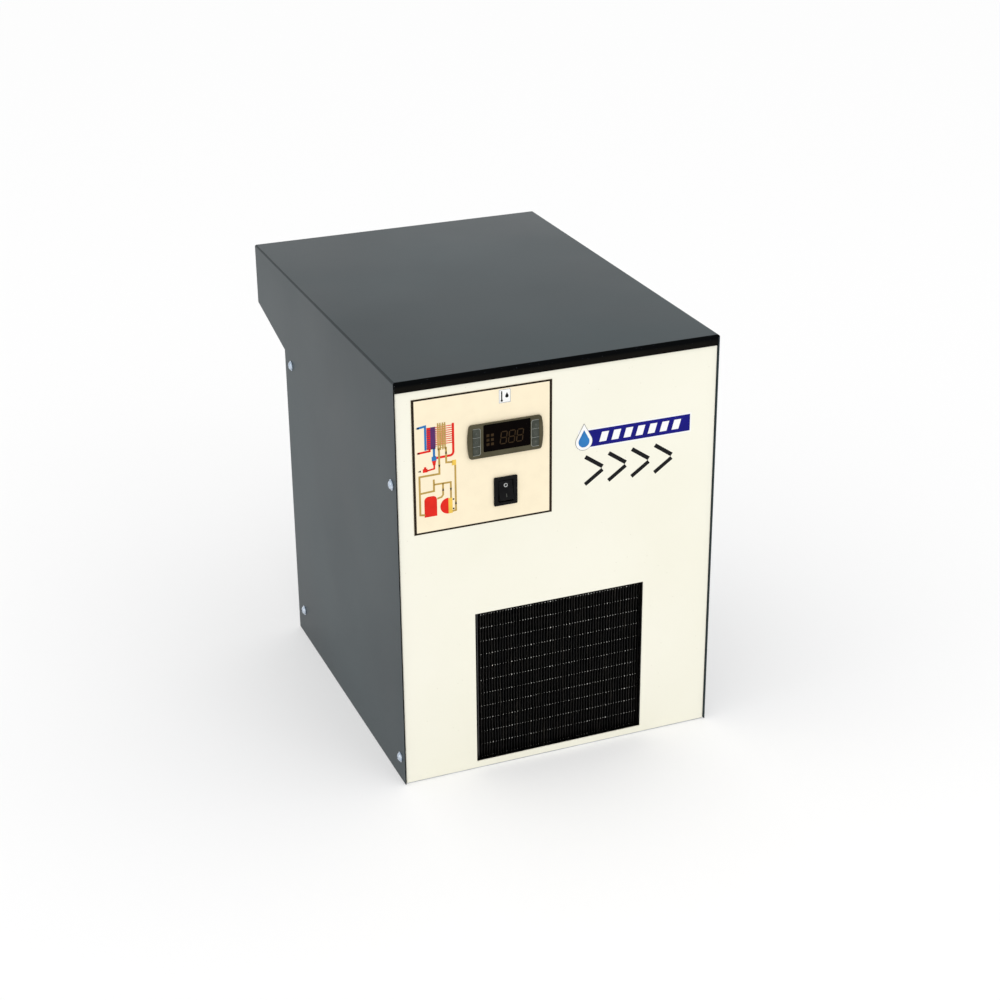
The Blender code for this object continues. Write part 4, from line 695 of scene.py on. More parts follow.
def make_cover():
    """The folded cover with its lip, its hood and its screw holes."""
    outside = pushed(side_outline(), "X", -HALF_WIDTH, HALF_WIDTH)
    ease(outside, FOLD, on_fold(HEIGHT, HALF_WIDTH), 6)
    cover = new_piece(
        "folded_cover", outside, charcoal_coat, "cabinet", "charcoal_paint", "cover")
    inside = HALF_WIDTH - SHEET
    space = pushed(hollow_outline(), "X", -inside, inside)
    ease(space, FOLD - SHEET, on_fold(HEIGHT - SHEET, inside), 6)
    carve(cover, space)
    carve(cover, lip_slits())
    carve(cover, screw_holes(HALF_WIDTH))
    soften(cover, PAINTED_EDGE)
    # The lip and the left side's front edges take the nearly black copy, and the long folds a
    # darker copy: both are painted shade.
    cover.data.materials.append(shaded_lip_coat)
    cover.data.materials.append(shaded_fold_coat)
    for face in cover.data.polygons:
        face.material_index = coat_of(face)
    return cover


def coat_of(face):
    """Which coat a face of the cover takes: 0 plain, 1 painted shade on the lip, 2 painted shade
    on the long folds.
    """
    place, way = face.center, face.normal
    depth, drop = place.y - FRONT, HEIGHT - place.z
    faces_front = way.y < -0.2
    if faces_front and depth < LIP_WRAP and drop < LIP_HEIGHT and abs(way.x) < 0.9:
        return 1
    # Only the left side's front edges take the lip's nearly black coat: a painted shade line.
    if faces_front and depth < EDGE_WRAP and place.x < 0:
        return 1
    # The long folds take the darker copy of the coat as painted shade.
    if abs(way.x) > 0.2 and way.z > 0.2 and drop < FOLD + 0.0005:
        return 2
    return 0


cover = make_cover()
print("cover faces:", len(cover.data.polygons))

# %% [markdown]
# ## The front panel
#
# A cream tray slides in behind the lip. Its face is flat, its edges are folded back, and it
# has three openings: a wide one for the condenser's air and two small ones for the controller
# and the switch. The laser-cut edges are eased by a tenth of a millimetre only, which is
# enough for a thin line of light around each opening.

# %% Fold the front panel
panel_low, panel_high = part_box("front_panel")
TRAY_FOLD = 0.0016
CUT_EDGE = 0.00012
CUT_REACH = 0.02
CASE_CLEARANCE = 0.0003
SWITCH_FLANGE = 0.0022


def opening_corners():
    """The condenser opening's two corners, read from the solid's face."""
    rim = [
        vertex.co for vertex in nodes["front_panel"].data.vertices
        if abs(vertex.co.y - panel_low.y) < 1e-4 and abs(vertex.co.x) < 0.7 * HALF_WIDTH
        and panel_low.z + 0.002 < vertex.co.z < HEIGHT / 2]
    low = Vector((min(co.x for co in rim), 0, min(co.z for co in rim)))
    high = Vector((max(co.x for co in rim), 0, max(co.z for co in rim)))
    return low, high


def through(low, high):
    """A cutter over a rectangle of the front, right through the sheet."""
    return block(
        Vector((low.x, FRONT - CUT_REACH, low.z)), Vector((high.x, FRONT + CUT_REACH, high.z)))


def shrunk(node, margin):
    """A solid's box, made smaller by a margin on each side."""
    low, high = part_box(node)
    edge = Vector((margin, 0, margin))
    return low + edge, high - edge


def cut_for_controls(sheet):
    """Cut the two small openings, for the controller's case and for the switch."""
    carve(sheet, through(*shrunk("controller_case", -CASE_CLEARANCE)))
    carve(sheet, through(*shrunk("switch_body", SWITCH_FLANGE)))


def make_front_panel():
    """The cream tray with its openings."""
    tray = block(panel_low, panel_high)
    ease(tray, TRAY_FOLD, facing(panel_low.y), 5)
    panel = new_piece(
        "front_tray", tray, cream_coat, "cabinet", "cream_paint", "front_panel")
    inner_low = panel_low + Vector((SHEET, SHEET, -BEYOND))
    inner_high = panel_high + Vector((-SHEET, BEYOND, -SHEET))
    carve(panel, block(inner_low, inner_high))
    carve(panel, through(*opening_corners()))
    cut_for_controls(panel)
    carve(panel, screw_holes(panel_high.x, "front"))
    return soften(panel, CUT_EDGE)


make_front_panel()
print("opening:", [round(1000 * corner.x, 1) for corner in opening_corners()], "mm")

# %% [markdown]
# ## The rear panel
#
# The back is the same kind of tray in the cover's charcoal. Warm air leaves through sixteen
# slots. A press lances such a slot and pushes one side of the metal out into a small hood that
# opens downwards. The hood is a quarter arc a little thinner than the sheet, because pressing
# draws the metal out. It is swept along the slot and tapered to nothing at both ends.

# %% Fold the rear panel and press its louvres
rear_low, rear_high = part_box("rear_panel")
LOUVRE_WIDTH = 0.056
LOUVRE_HEIGHT = 0.006
LOUVRE_REACH = 0.005
LOUVRE_OVERLAP = 0.002
LOUVRE_METAL = 0.7 * SHEET
LOUVRE_ROOT = 0.0004
LOUVRE_LENGTH = 1.06 * LOUVRE_WIDTH
LOUVRE_STATIONS = ((-0.5, 0.0), (-0.47, 1.0), (0.47, 1.0), (0.5, 0.0))
LOUVRE_PLACES = [
    (-0.085 + side * 0.034, 0.070 + row * 0.020) for side in (-1, 1) for row in range(8)]
SLEEVE = {"air_inlet_port": 0.0106, "air_outlet_port": 0.0106, "drain_outlet_fitting": 0.0066}
INLET_HOLE = Vector((0.0148, 0, 0.0115))


def louvre_ring(mesh, station, shrink, x, z, steps=8):
    """A louvre's cross-section at one station: the outer arc, then the inner one back."""
    ring = []
    for layer in (0.0, LOUVRE_METAL):
        curve = []
        for step in range(steps + 1):
            angle = math.pi / 2 * step / steps
            reach = max((LOUVRE_REACH - layer) * math.cos(angle) * shrink, 0.0)
            rise = (LOUVRE_HEIGHT + LOUVRE_OVERLAP - layer) * math.sin(angle)
            curve.append(mesh.verts.new((
                x + station * LOUVRE_LENGTH, rear_high.y - LOUVRE_ROOT + reach, z + rise)))
        ring += curve if layer == 0.0 else curve[::-1]
    return ring


def bridge(mesh, rings):
    """A closed tube through rings of equal length, with a face at each end."""
    for near, far in zip(rings, rings[1:]):
        for index in range(len(near)):
            after = (index + 1) % len(near)
            mesh.faces.new((near[index], near[after], far[after], far[index]))
    mesh.faces.new(rings[0])
    mesh.faces.new(rings[-1][::-1])


def louvre_hood(x, z):
    """A pressed hood over one slot."""
    mesh = bmesh.new()
    bridge(mesh, [louvre_ring(mesh, *station, x, z) for station in LOUVRE_STATIONS])
    bmesh.ops.recalc_face_normals(mesh, faces=mesh.faces)
    return mesh


def behind(low, high):
    """A cutter over a rectangle of the back, right through the sheet."""
    return block(
        Vector((low.x, rear_high.y - CUT_REACH, low.z)),
        Vector((high.x, rear_high.y + CUT_REACH, high.z)))


def louvre_slot(x, z):
    """The cutter for one exhaust slot."""
    half = LOUVRE_WIDTH / 2
    return behind(Vector((x - half, 0, z)), Vector((x + half, 0, z + LOUVRE_HEIGHT)))


def make_rear_panel():
    """The charcoal tray with its slots and the holes for the connections."""
    tray = block(rear_low, rear_high)
    ease(tray, TRAY_FOLD, facing(rear_high.y), 5)
    panel = new_piece(
        "rear_tray", tray, charcoal_coat, "cabinet", "charcoal_paint", "rear_panel")
    carve(panel, block(
        rear_low + Vector((SHEET, -BEYOND, -BEYOND)), rear_high - Vector((SHEET, SHEET, SHEET))))
    carve(panel, joined(*[louvre_slot(x, z) for x, z in LOUVRE_PLACES]))
    holes = [
        drill("Y", (middle(node).x, rear_high.y, middle(node).z), radius, CUT_REACH, 48)
        for node, radius in SLEEVE.items()]
    inlet = middle("power_inlet")
    carve(panel, joined(*holes, behind(inlet - INLET_HOLE, inlet + INLET_HOLE)))
    carve(panel, screw_holes(rear_high.x, "rear"))
    return soften(panel, CUT_EDGE)


make_rear_panel()
louvres = new_piece(
    "exhaust_louvres", joined(*[louvre_hood(x, z) for x, z in LOUVRE_PLACES]), charcoal_coat,
    "cabinet", "charcoal_paint")
soften(louvres)
print("louvres:", len(LOUVRE_PLACES))

# %% [markdown]
# ## The cover's screws
#
# Eight pan-head screws hold the cover. The head is a turned dome on a thin washer, and the
# driver's cross is cut into it with tapered arms. Each screw stops at its own turn, as screws
# driven by hand do. Each one is made at the origin by the same function and is then turned and
# set in place, which keeps all eight alike.

# %% Turn the screws
HEAD_RADIUS = 0.0050
HEAD_RISE = 0.0030
WASHER_RADIUS = 0.0060
WASHER_THICKNESS = 0.0007
SHANK_RADIUS = 0.0020
SHANK_LENGTH = 0.012
CROSS_ARM = 0.0029
CROSS_HALF = 0.00055
CROSS_FLOOR = 0.0012
ARM_TAPER = 0.35
WIDTH_TAPER = 0.6


def screw_profile():
    """Half of the screw's outline: shank, washer and dome, as (radius, distance)."""
    dome = [
        (HEAD_RADIUS * math.cos(angle), WASHER_THICKNESS + HEAD_RISE * math.sin(angle))
        for angle in (math.pi / 2 * step / 8 for step in range(8))]
    return [
        (0, -SHANK_LENGTH), (SHANK_RADIUS, -SHANK_LENGTH), (SHANK_RADIUS, 0),
        (WASHER_RADIUS, 0), (WASHER_RADIUS, WASHER_THICKNESS), (HEAD_RADIUS, WASHER_THICKNESS),
        *dome[1:], (0, WASHER_THICKNESS + HEAD_RISE)]


def cross_cutter():
    """The driver's cross: two tapered bars that narrow with depth."""
    bars = []
    for turn in (0, math.pi / 2):
        bar = block(
            Vector((-CROSS_ARM, -CROSS_HALF, 0)), Vector((CROSS_ARM, CROSS_HALF, 0.004)))
        for corner in bar.verts:
            if corner.co.z < 0.001:
                corner.co.x *= ARM_TAPER
                corner.co.y *= WIDTH_TAPER
        bmesh.ops.rotate(
            bar, verts=bar.verts, cent=(0, 0, 0), matrix=Matrix.Rotation(turn, 3, "Z"))
        bmesh.ops.translate(bar, vec=(0, 0, WASHER_THICKNESS + CROSS_FLOOR), verts=bar.verts)
        bars.append(bar)
    return bars


def make_screws():
    """The eight screws, each at its own turn."""
    for index, (name, centre) in enumerate(sorted(screw_spots().items())):
        sign = math.copysign(1, centre.x)
        model = turned(screw_profile(), "Z", (0, 0, 0), 40)
        piece = new_piece(
            name.replace("cover_screw", "zinc_screw"), model, bright_zinc, "cabinet",
            "zinc_screws", name)
        for bar in cross_cutter():
            carve(piece, bar)
        face = Matrix.Rotation(sign * math.pi / 2, 4, "Y")
        spin = Matrix.Rotation(0.4 + 1.3 * index, 4, "Z")
        seat = Vector((sign * (HALF_WIDTH + 0.0001), centre.y, centre.z))
        piece.data.transform(Matrix.Translation(seat) @ face @ spin)
        soften(piece, CUT_EDGE)


make_screws()
print("screws:", len(screw_spots()))

# %% [markdown]
# ## The condenser behind the opening
#
# The condenser is a block of thin black fins pierced by a serpentine tube. Up close it is
# only upright lines, with a bright glint wherever the tube passes. Every fin is its own strip
# here, a third of a millimetre thick and bent by a hair's breadth, because dead straight
# fins make a false pattern. The bend is a smooth noise of the fin's number and height.

# %% Stack the fins
fins_low, fins_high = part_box("condenser_fins")
TUBE_ROWS = 12
TUBE_PITCH = (fins_high.z - fins_low.z) / TUBE_ROWS
FIN_PITCH = 0.0033
FIN_THICKNESS = 0.00035
FIN_STEPS = 36
FIN_BEND = 0.0006
FIN_DENT = 0.0004
FIN_GAPS = int((fins_high.x - fins_low.x - FIN_THICKNESS) / FIN_PITCH)
FIN_START = (fins_low.x + fins_high.x - FIN_GAPS * FIN_PITCH) / 2


def fin_place(number, height):
    """Where a fin stands along X at a height: its place in the row, and a little sway."""
    sway = FIN_BEND * noise.noise(Vector((number * 0.37, height * 38, 0.5)))
    return FIN_START + number * FIN_PITCH + sway


def fin_corners(number, z):
    """A fin's four corners at a height, with a slight dent in its front edge."""
    x = fin_place(number, z)
    dent = FIN_DENT * noise.noise(Vector((number * 0.9, z * 60, 3)))
    front = fins_low.y + FIN_DENT + dent
    half = FIN_THICKNESS / 2
    return [
        (x - half, front, z), (x + half, front, z),
        (x + half, fins_high.y, z), (x - half, fins_high.y, z)]


def make_fins():
    """All fins in one mesh: thin strips with wavy front edges."""
    mesh = bmesh.new()
    levels = [
        fins_low.z + (fins_high.z - fins_low.z) * step / FIN_STEPS
        for step in range(FIN_STEPS + 1)]
    for number in range(FIN_GAPS + 1):
        bridge(mesh, [[mesh.verts.new(co) for co in fin_corners(number, z)] for z in levels])
    bmesh.ops.recalc_face_normals(mesh, faces=mesh.faces)
    return mesh


def make_fin_enamel():
    """Black dip over aluminium fins, with a painted brown-grey sheen in upright streaks."""
    finish, tree, shader = new_finish("black_dipped_fins", 0.4, 0.35)
    streaks = noise_pattern(tree, 60.0, 4.0, stretched(tree, (6, 1, 0.35)))
    # The brown-grey streaks in the base colour are a painted sheen.
    paint(tree, shader, ramp(
        tree, streaks, (0.40, (0.005, 0.005, 0.005)), (0.62, (0.016, 0.014, 0.012)),
        (0.74, (0.055, 0.050, 0.042))))
    dull(tree, shader, remap(tree, streaks, 0.50, 0.28))
    add_bump(tree, shader, noise_pattern(tree, 900.0), 0.00002)
    return finish


fin_enamel = make_fin_enamel()
new_piece(
    "condenser_fin_pack", make_fins(), fin_enamel, "cabinet", "black_enamel",
    "condenser_fins")
print("fins:", FIN_GAPS + 1)

# %% [markdown]
# ## Spacer tabs on the fins
#
# Each fin is kept apart from the next one by small tabs, punched and bent beside every tube.
# Their bright bare metal is painted glints: from the front they are the rows of tiny bright dots.
# Some fins stand a hair further forward than others. A tab is a small block beside its fin,
# and its height follows a noise of the fin's number and is larger on every seventh fin, so
# that some painted glints look bigger.

# %% Punch the spacer tabs
TAB_SMALL = 0.00030
TAB_LARGE = 0.0011
TAB_LENGTH = 0.25 * FIN_PITCH
TAB_FRONT = 0.0003
TAB_BACK = 0.0012
BRIGHT_EVERY = 7


def tab_height(number, row):
    """How tall a tab is, which sets the size of its painted glint: tall on every seventh fin, and
    uneven elsewhere.
    """
    wander = noise.noise(Vector((number * 0.71, row * 0.83, 7.5)))
    if (number + 3) % BRIGHT_EVERY == 0:
        return TAB_LARGE * (0.8 + 0.6 * wander)
    return TAB_SMALL * max(1.0 + 1.6 * wander, 0.3)


def make_tabs():
    """All tabs in one mesh, a row of them at each tube."""
    tabs = []
    for row in range(TUBE_ROWS):
        z = fins_low.z + TUBE_PITCH * (row + 0.5)
        for number in range(FIN_GAPS):
            x = fin_place(number, z)
            half = tab_height(number, row) / 2
            tabs.append(block(
                Vector((x, fins_low.y + TAB_FRONT, z - half)),
                Vector((x + TAB_LENGTH, fins_low.y + TAB_BACK, z + half))))
    return joined(*tabs)


# Bright bare metal on the tabs stands in for glints: painted highlights.
glint_metal = make_stock(
    "fin_metal_for_painted_glints", (0.50, 0.49, 0.46), (0.85, 0.84, 0.80), (0.25, 0.40), 900.0, 0.00001,
    1.0, patch=150.0)
new_piece("fin_tabs", make_tabs(), glint_metal, "cabinet", "aluminium")
print("tabs:", TUBE_ROWS * FIN_GAPS)

# %% [markdown]
# ## The control label
#
# A printed plastic sheet frames the controls. The sheet is warm cream with a dark brown
# border, and a coloured picture of the cold circuit runs down its left side. Print can be an
# image or a pattern, but a drawing made of flat strokes stays sharp at any distance. Each ink
# is one thin mesh, a twentieth of a millimetre proud of the sheet.

# %% The label and its inks
label_low, label_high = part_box("control_overlay")
INK = 0.00005
LABEL_CORNER = 0.002


def make_print(name, colour, drift=0.85):
    """Printed ink: one colour with a slightly mottled body and a soft gloss."""
    dark = tuple(part * drift for part in colour)
    return make_stock(
        name, dark, colour, (0.36, 0.46), 800.0, 0.00001, patch=70.0, specular=0.12)


label_film = make_print("warm_cream_film", (0.950, 0.840, 0.620), 0.97)
ink_brown = make_print("brown_ink", (0.020, 0.012, 0.006))
ink_red = make_print("red_ink", (0.80, 0.022, 0.012))
ink_purple = make_print("purple_ink", (0.10, 0.030, 0.14))
ink_blue = make_print("blue_ink", (0.030, 0.20, 0.52))
ink_gold = make_print("gold_ink", (0.52, 0.34, 0.085))
ink_yellow = make_print("yellow_ink", (0.88, 0.58, 0.10))
ink_black = make_print("black_ink", (0.006, 0.006, 0.007))
ink_white = make_print("white_ink", (0.93, 0.93, 0.92), 0.97)
ink_grey = make_print("grey_ink", (0.20, 0.21, 0.20))


def printed(name, shapes, ink):
    """A piece of print from one or more flat shapes."""
    return new_piece(name, joined(*shapes), ink, "cabinet", "printed_label")


def flat_shape(outline, front, thickness=INK):
    """A flat printed shape from its (x, z) outline; front is the depth of its face."""
    return pushed(outline, "Y", FRONT + front, FRONT + front + thickness)


def stroke(points, width, front, thickness=INK):
    """A line of even width through (x, z) points, with mitred corners."""
    path = [Vector(point) for point in points]
    left, right = [], []
    for index, point in enumerate(path):
        before = path[max(index - 1, 0)]
        after = path[min(index + 1, len(path) - 1)]
        into = (point - before) if index else (after - point)
        out = (after - point) if index < len(path) - 1 else into
        mean = (into.normalized() + out.normalized()).normalized()
        across = Vector((-mean.y, mean.x))
        spread = width / 2 / max(across.dot(Vector((-into.y, into.x)).normalized()), 0.3)
        left.append(point + across * spread)
        right.append(point - across * spread)
    outline = [tuple(point) for point in left + right[::-1]]
    return flat_shape(outline, front, thickness)


def rectangle(low, high, front, thickness=INK):
    """A printed rectangle between two (x, z) corners."""
    return flat_shape(
        [(low[0], low[1]), (high[0], low[1]), (high[0], high[1]), (low[0], high[1])],
        front, thickness)


def make_label():
    """The plastic sheet with rounded corners and its two windows."""
    sheet = ease(block(label_low, label_high), LABEL_CORNER, along_depth, 4)
    label = new_piece(
        "control_label", sheet, label_film, "cabinet", "printed_label", "control_overlay")
    cut_for_controls(label)
    return soften(label)


make_label()
LABEL_FACE = depth_of("control_overlay") - INK
print("label:", [round(1000 * size, 1) for size in label_high - label_low], "mm")

# %% [markdown]
# ## The printed border
#
# The border is four bars, thicker at the sides than at the top and the bottom.

# %% Print the border
SIDE_BAR = 0.0029
CROSS_BAR = 0.0021


def make_border():
    """Four bars around the label's edge."""
    left, right = label_low.x, label_high.x
    bottom, top = label_low.z, label_high.z
    inner_left, inner_right = left + SIDE_BAR, right - SIDE_BAR
    bars = (
        ((left, bottom), (inner_left, top)), ((inner_right, bottom), (right, top)),
        ((inner_left, bottom), (inner_right, bottom + CROSS_BAR)),
        ((inner_left, top - CROSS_BAR), (inner_right, top)))
    return [rectangle(low, high, LABEL_FACE) for low, high in bars]


printed("label_border", make_border(), ink_brown)
print("border bars:", 1000 * SIDE_BAR, "and", 1000 * CROSS_BAR, "mm")

# %% [markdown]
# ## The circuit picture
#
# The little diagram shows the machine at work. Hot wet air enters on the left, is cooled in a
# blue and purple block, meets the golden cold pipes, and drops its water in a separator. Below
# are the compressor as a red drum and the condenser with its fan. It is drawn in millimetres
# from a point near the label's lower left corner, so that its strokes can be read and changed
# like a drawing. Where two inks cross, the later one lies a layer higher.

# %% Drawing tools for the circuit picture
MM = 0.001
PICTURE_LEFT = label_high.x - 0.1535


def on_picture(points):
    """Picture millimetres turned into (x, z) on the label."""
    return [(PICTURE_LEFT + x * MM, label_low.z + y * MM) for x, y in points]


def line(points, width, layer=0):
    """A line on the picture."""
    return stroke(on_picture(points), width * MM, LABEL_FACE - layer * INK)


def filled(points, layer=0):
    """A filled outline on the picture."""
    return flat_shape(on_picture(points), LABEL_FACE - layer * INK)


def patch(left, bottom, right, top, layer=0):
    """A filled rectangle on the picture."""
    return filled([(left, bottom), (right, bottom), (right, top), (left, top)], layer)


def arc(centre, radius, start, end, steps=16):
    """Points along an arc, with its angles in degrees."""
    turns = [math.radians(start + (end - start) * step / steps) for step in range(steps + 1)]
    return [(centre[0] + radius * math.cos(turn), centre[1] + radius * math.sin(turn))
            for turn in turns]


def arrow(x, y, way):
    """A small arrow head that points up, down or left."""
    up = [(-1.1, -1.6), (1.1, -1.6), (0, 1.8)]
    heads = {"up": up, "down": [(a, -b) for a, b in up], "left": [(-b, a) for a, b in up]}
    return filled([(x + a, y + b) for a, b in heads[way]], 3)


print("drawing tools ready, unit", MM, "m")

# %% [markdown]
# ## Inks of the picture
#
# Each ink is drawn by its own function, in the order in which a printer would lay it down:
# blue for cold air, purple where it warms up, red for hot air, gold for the refrigerant,
# yellow for the valve and the fins, and black arrows on top. The comb is nine equal strokes,
# and the cold pipe over it is a lattice.

# %% Draw the circuit picture
COMB_TEETH = 9
COMB_PITCH = 2.4
COMB_BOTTOM = 99.0


def blue_parts():
    """Dry air on its way out, and the separator."""
    return [
        line([(3.0, 120.0), (12.0, 121.2), (12.0, 94.4)], 2.4),
        line([(21.1, 95.5), (21.1, 86.0)], 2.6),
        patch(18.4, 81.4, 23.6, 86.3)]


def purple_parts():
    """The block where outgoing air cools the incoming air, with its crossing tubes."""
    tubes = [
        line([(13.4, 96.6 + COMB_PITCH * row), (24.0, 97.2 + COMB_PITCH * row)], 0.7, 1)
        for row in range(COMB_TEETH)]
    return [patch(17.6, 94.6, 22.9, 119.2), *tubes]


def red_parts():
    """Hot air: comb, header, outlet, drain, compressor drum and fan."""
    teeth = [
        line([(22.6, COMB_BOTTOM + COMB_PITCH * row), (41.6, COMB_BOTTOM + COMB_PITCH * row)], 0.9)
        for row in range(COMB_TEETH)]
    bend = arc((38.4, 88.6), 4.0, 0, -80, 8)
    drum = [(9.2, 18.8), (23.2, 18.8)] + arc((18.6, 37.4), 4.6, 0, 90, 6)
    drum += arc((13.8, 37.4), 4.6, 90, 180, 6)
    fan = arc((35.9, 28.1), 9.1, 90, 270)
    return [
        *teeth, patch(13.4, 94.6, 17.6, 119.2), line([(42.4, 120.4), *bend, (23.6, 84.2)], 2.6),
        line([(3.0, 92.2), (16.4, 93.0), (16.4, 95.0)], 2.3),
        filled([(18.6, 81.4), (23.4, 81.4), (22.4, 76.4), (19.8, 76.4)]),
        line([(21.1, 76.6), (21.1, 72.6), (13.0, 71.4)], 1.9),
        patch(8.4, 69.9, 13.6, 74.0), line([(11.0, 73.6), (11.0, 76.0)], 2.6),
        filled(drum), filled(fan)]


def gold_parts():
    """Refrigerant: the lattice over the comb and the pipes below it."""
    lattice = [line([(x, 92.6), (x, 122.6)], 1.5, 1) for x in (25.8, 28.2, 31.0, 33.4)]
    lattice += [
        line([(24.9, 95.0 + 2.5 * row), (34.4, 95.0 + 2.5 * row)], 0.8, 2) for row in range(11)]
    return [
        *lattice,
        line([(26.6, 94.4), (26.6, 65.9), (4.5, 65.7), (4.5, 22.4), (9.8, 21.6)], 2.1, 1),
        line([(34.3, 94.8), (34.3, 77.4), (41.0, 77.0)], 2.0, 1),
        line([(44.2, 76.0), (44.2, 21.6), (40.0, 21.0)], 2.1),
        line([(20.2, 60.4), (20.2, 47.4), (5.2, 46.6)], 2.1),
        line([(20.8, 54.6), (38.9, 54.4), (38.9, 35.8)], 2.0),
        line([(30.2, 54.4), (30.2, 41.6), (28.4, 39.2), (23.6, 38.2)], 2.0)]


def arrow_parts():
    """Flow arrows, and the dots that stand for air beside the condenser."""
    return [
        arrow(3.6, 120.0, "left"), arrow(3.6, 92.2, "left"), arrow(4.6, 71.9, "left"),
        arrow(26.6, 74.5, "down"), arrow(34.3, 89.0, "up"), arrow(30.2, 47.6, "up"),
        arrow(38.9, 46.2, "down"), arrow(44.2, 30.0, "up"),
        filled(arc((41.6, 34.6), 1.0, 0, 330, 11)), filled(arc((41.6, 23.8), 1.0, 0, 330, 11))]


def yellow_parts():
    """The condenser's fins and the expansion valve."""
    return [patch(35.9, 19.0, 40.4, 36.6, 1), patch(40.4, 73.0, 45.2, 79.0, 1)]


PICTURE = {
    "picture_blue": (blue_parts, ink_blue), "picture_purple": (purple_parts, ink_purple),
    "picture_red": (red_parts, ink_red), "picture_gold": (gold_parts, ink_gold),
    "picture_yellow": (yellow_parts, ink_yellow), "picture_arrows": (arrow_parts, ink_black),
}
for name, (draw, ink) in PICTURE.items():
    printed(name, draw(), ink)
print("picture inks:", len(PICTURE))

# %% [markdown]
# ## Small labels on the panel
#
# A little white sticker above the controller shows a thermometer and a drop. On the right of
# the panel sits a blue band with a white edge, and below it a row of large black marks. Both
# carry plain signs: a water drop and streaming air on the band, and chevrons for the flow
# below it. Like the picture, they are flat shapes stacked an ink's thickness apart.

# %% Stick on the small labels
PANEL_FACE = depth_of("front_panel") - INK
PAPER = 0.0001
STICKER_LOW = (-0.0700, 0.4352)
STICKER_HIGH = (-0.0568, 0.4502)
STICKER_EDGE = 0.0004
BAND_LOW = (0.0205, 0.3675)
BAND_HIGH = (0.1545, 0.3900)
BAND_EDGE = 0.0016
STREAMS = 7
STREAM_START = (0.045, 0.3733)
STREAM_PITCH = 0.0143
STREAM_SIZE = (0.0082, 0.0110)
STREAM_LEAN = 0.0032
DROP_PLACE = (0.0272, 0.3762)
CHEVRONS = 4
CHEVRON_START = 0.0290
CHEVRON_PITCH = 0.0275
CHEVRON_WIDTH = 0.0205
CHEVRON_LOW = 0.3262
CHEVRON_HIGH = 0.3583
CHEVRON_STROKE = 0.0046
STENCIL_GAP = 0.0018


def inset(low, high, margin):
    """A rectangle's two corners, moved inwards."""
    return (low[0] + margin, low[1] + margin), (high[0] - margin, high[1] - margin)


def make_sticker():
    """White sticker with a grey edge line, a thermometer and a drop."""
    face = LABEL_FACE - PAPER
    printed("sticker_paper", [rectangle(STICKER_LOW, STICKER_HIGH, face, PAPER)], ink_white)
    (left, bottom), (right, top) = inset(STICKER_LOW, STICKER_HIGH, STICKER_EDGE)
    loop = [(left, bottom), (right, bottom), (right, top), (left, top)]
    printed("sticker_edge", [stroke(loop + loop[:2], 0.0003, face - INK)], ink_grey)
    left, bottom = STICKER_LOW
    bulb = (left + 0.0032, bottom + 0.0028)
    drop = (left + 0.0090, bottom + 0.0072)
    tip = (drop[0], drop[1] + 0.0042)
    stem = rectangle(
        (bulb[0] - 0.0007, bottom + 0.0035), (bulb[0] + 0.0007, bottom + 0.0132), face - INK)
    printed("sticker_signs", [
        stem, flat_shape(arc(bulb, 0.0013, 0, 337.5, 15), face - 2 * INK),
        flat_shape([tip] + arc(drop, 0.0019, 40, -220, 10), face - INK)], ink_black)


def stream(number, face):
    """One leaning white bar on the band."""
    left, bottom = STREAM_START[0] + STREAM_PITCH * number, STREAM_START[1]
    right, top = left + STREAM_SIZE[0], bottom + STREAM_SIZE[1]
    return flat_shape(
        [(left, bottom), (right, bottom), (right + STREAM_LEAN, top), (left + STREAM_LEAN, top)],
        face)


def make_band():
    """Blue band with a white edge and white streams of air."""
    face = PANEL_FACE - PAPER
    navy = make_print("navy_ink", (0.004, 0.004, 0.20))
    printed("band_edge", [rectangle(BAND_LOW, BAND_HIGH, face, PAPER)], ink_white)
    printed("band_field", [rectangle(*inset(BAND_LOW, BAND_HIGH, BAND_EDGE), face - INK)], navy)
    streams = [stream(number, face - 2 * INK) for number in range(STREAMS)]
    printed("band_streams", streams, ink_white)


def make_drop():
    """A water drop beside the band, in three layers: grey edge, white paper, blue heart."""
    layers = (
        ("drop_edge", 0.0100, ink_grey), ("drop_paper", 0.0095, ink_white),
        ("drop_heart", 0.0064, ink_blue))
    for layer, (name, radius, ink) in enumerate(layers):
        tip = (DROP_PLACE[0], DROP_PLACE[1] + 2.1 * radius)
        shape = [tip] + arc(DROP_PLACE, radius, 28, -208, 24)
        printed(name, [flat_shape(shape, PANEL_FACE - PAPER - (2 + layer) * INK)], ink)


def make_chevrons():
    """Tall black flow marks, drawn with an even stroke and a stencil gap at the tip."""
    half = (CHEVRON_LOW + CHEVRON_HIGH) / 2
    strokes = []
    for number in range(CHEVRONS):
        left = CHEVRON_START + CHEVRON_PITCH * number
        tip = left + CHEVRON_WIDTH
        for path in (
                [(left, CHEVRON_HIGH), (tip, half + STENCIL_GAP)],
                [(tip, half - STENCIL_GAP), (left, CHEVRON_LOW)]):
            strokes.append(stroke(path, CHEVRON_STROKE, PANEL_FACE))
    printed("flow_chevrons", strokes, ink_black)


make_drop()
make_sticker()
make_band()
make_chevrons()
print("band:", round(1000 * (BAND_HIGH[0] - BAND_LOW[0])), "mm wide, chevrons:", CHEVRONS)

# %% [markdown]
# ## The controller's bezel
#
# The thermostat's front is an olive-brown moulding with bulging ends. It carries a pocket for
# the window, six key holes and two thin raised brackets that tie the keys together. The
# outline is a box with two shallow arcs for ends. Its front edge is rounded by a small bevel,
# and the brackets are pale strokes that stand a little proud.

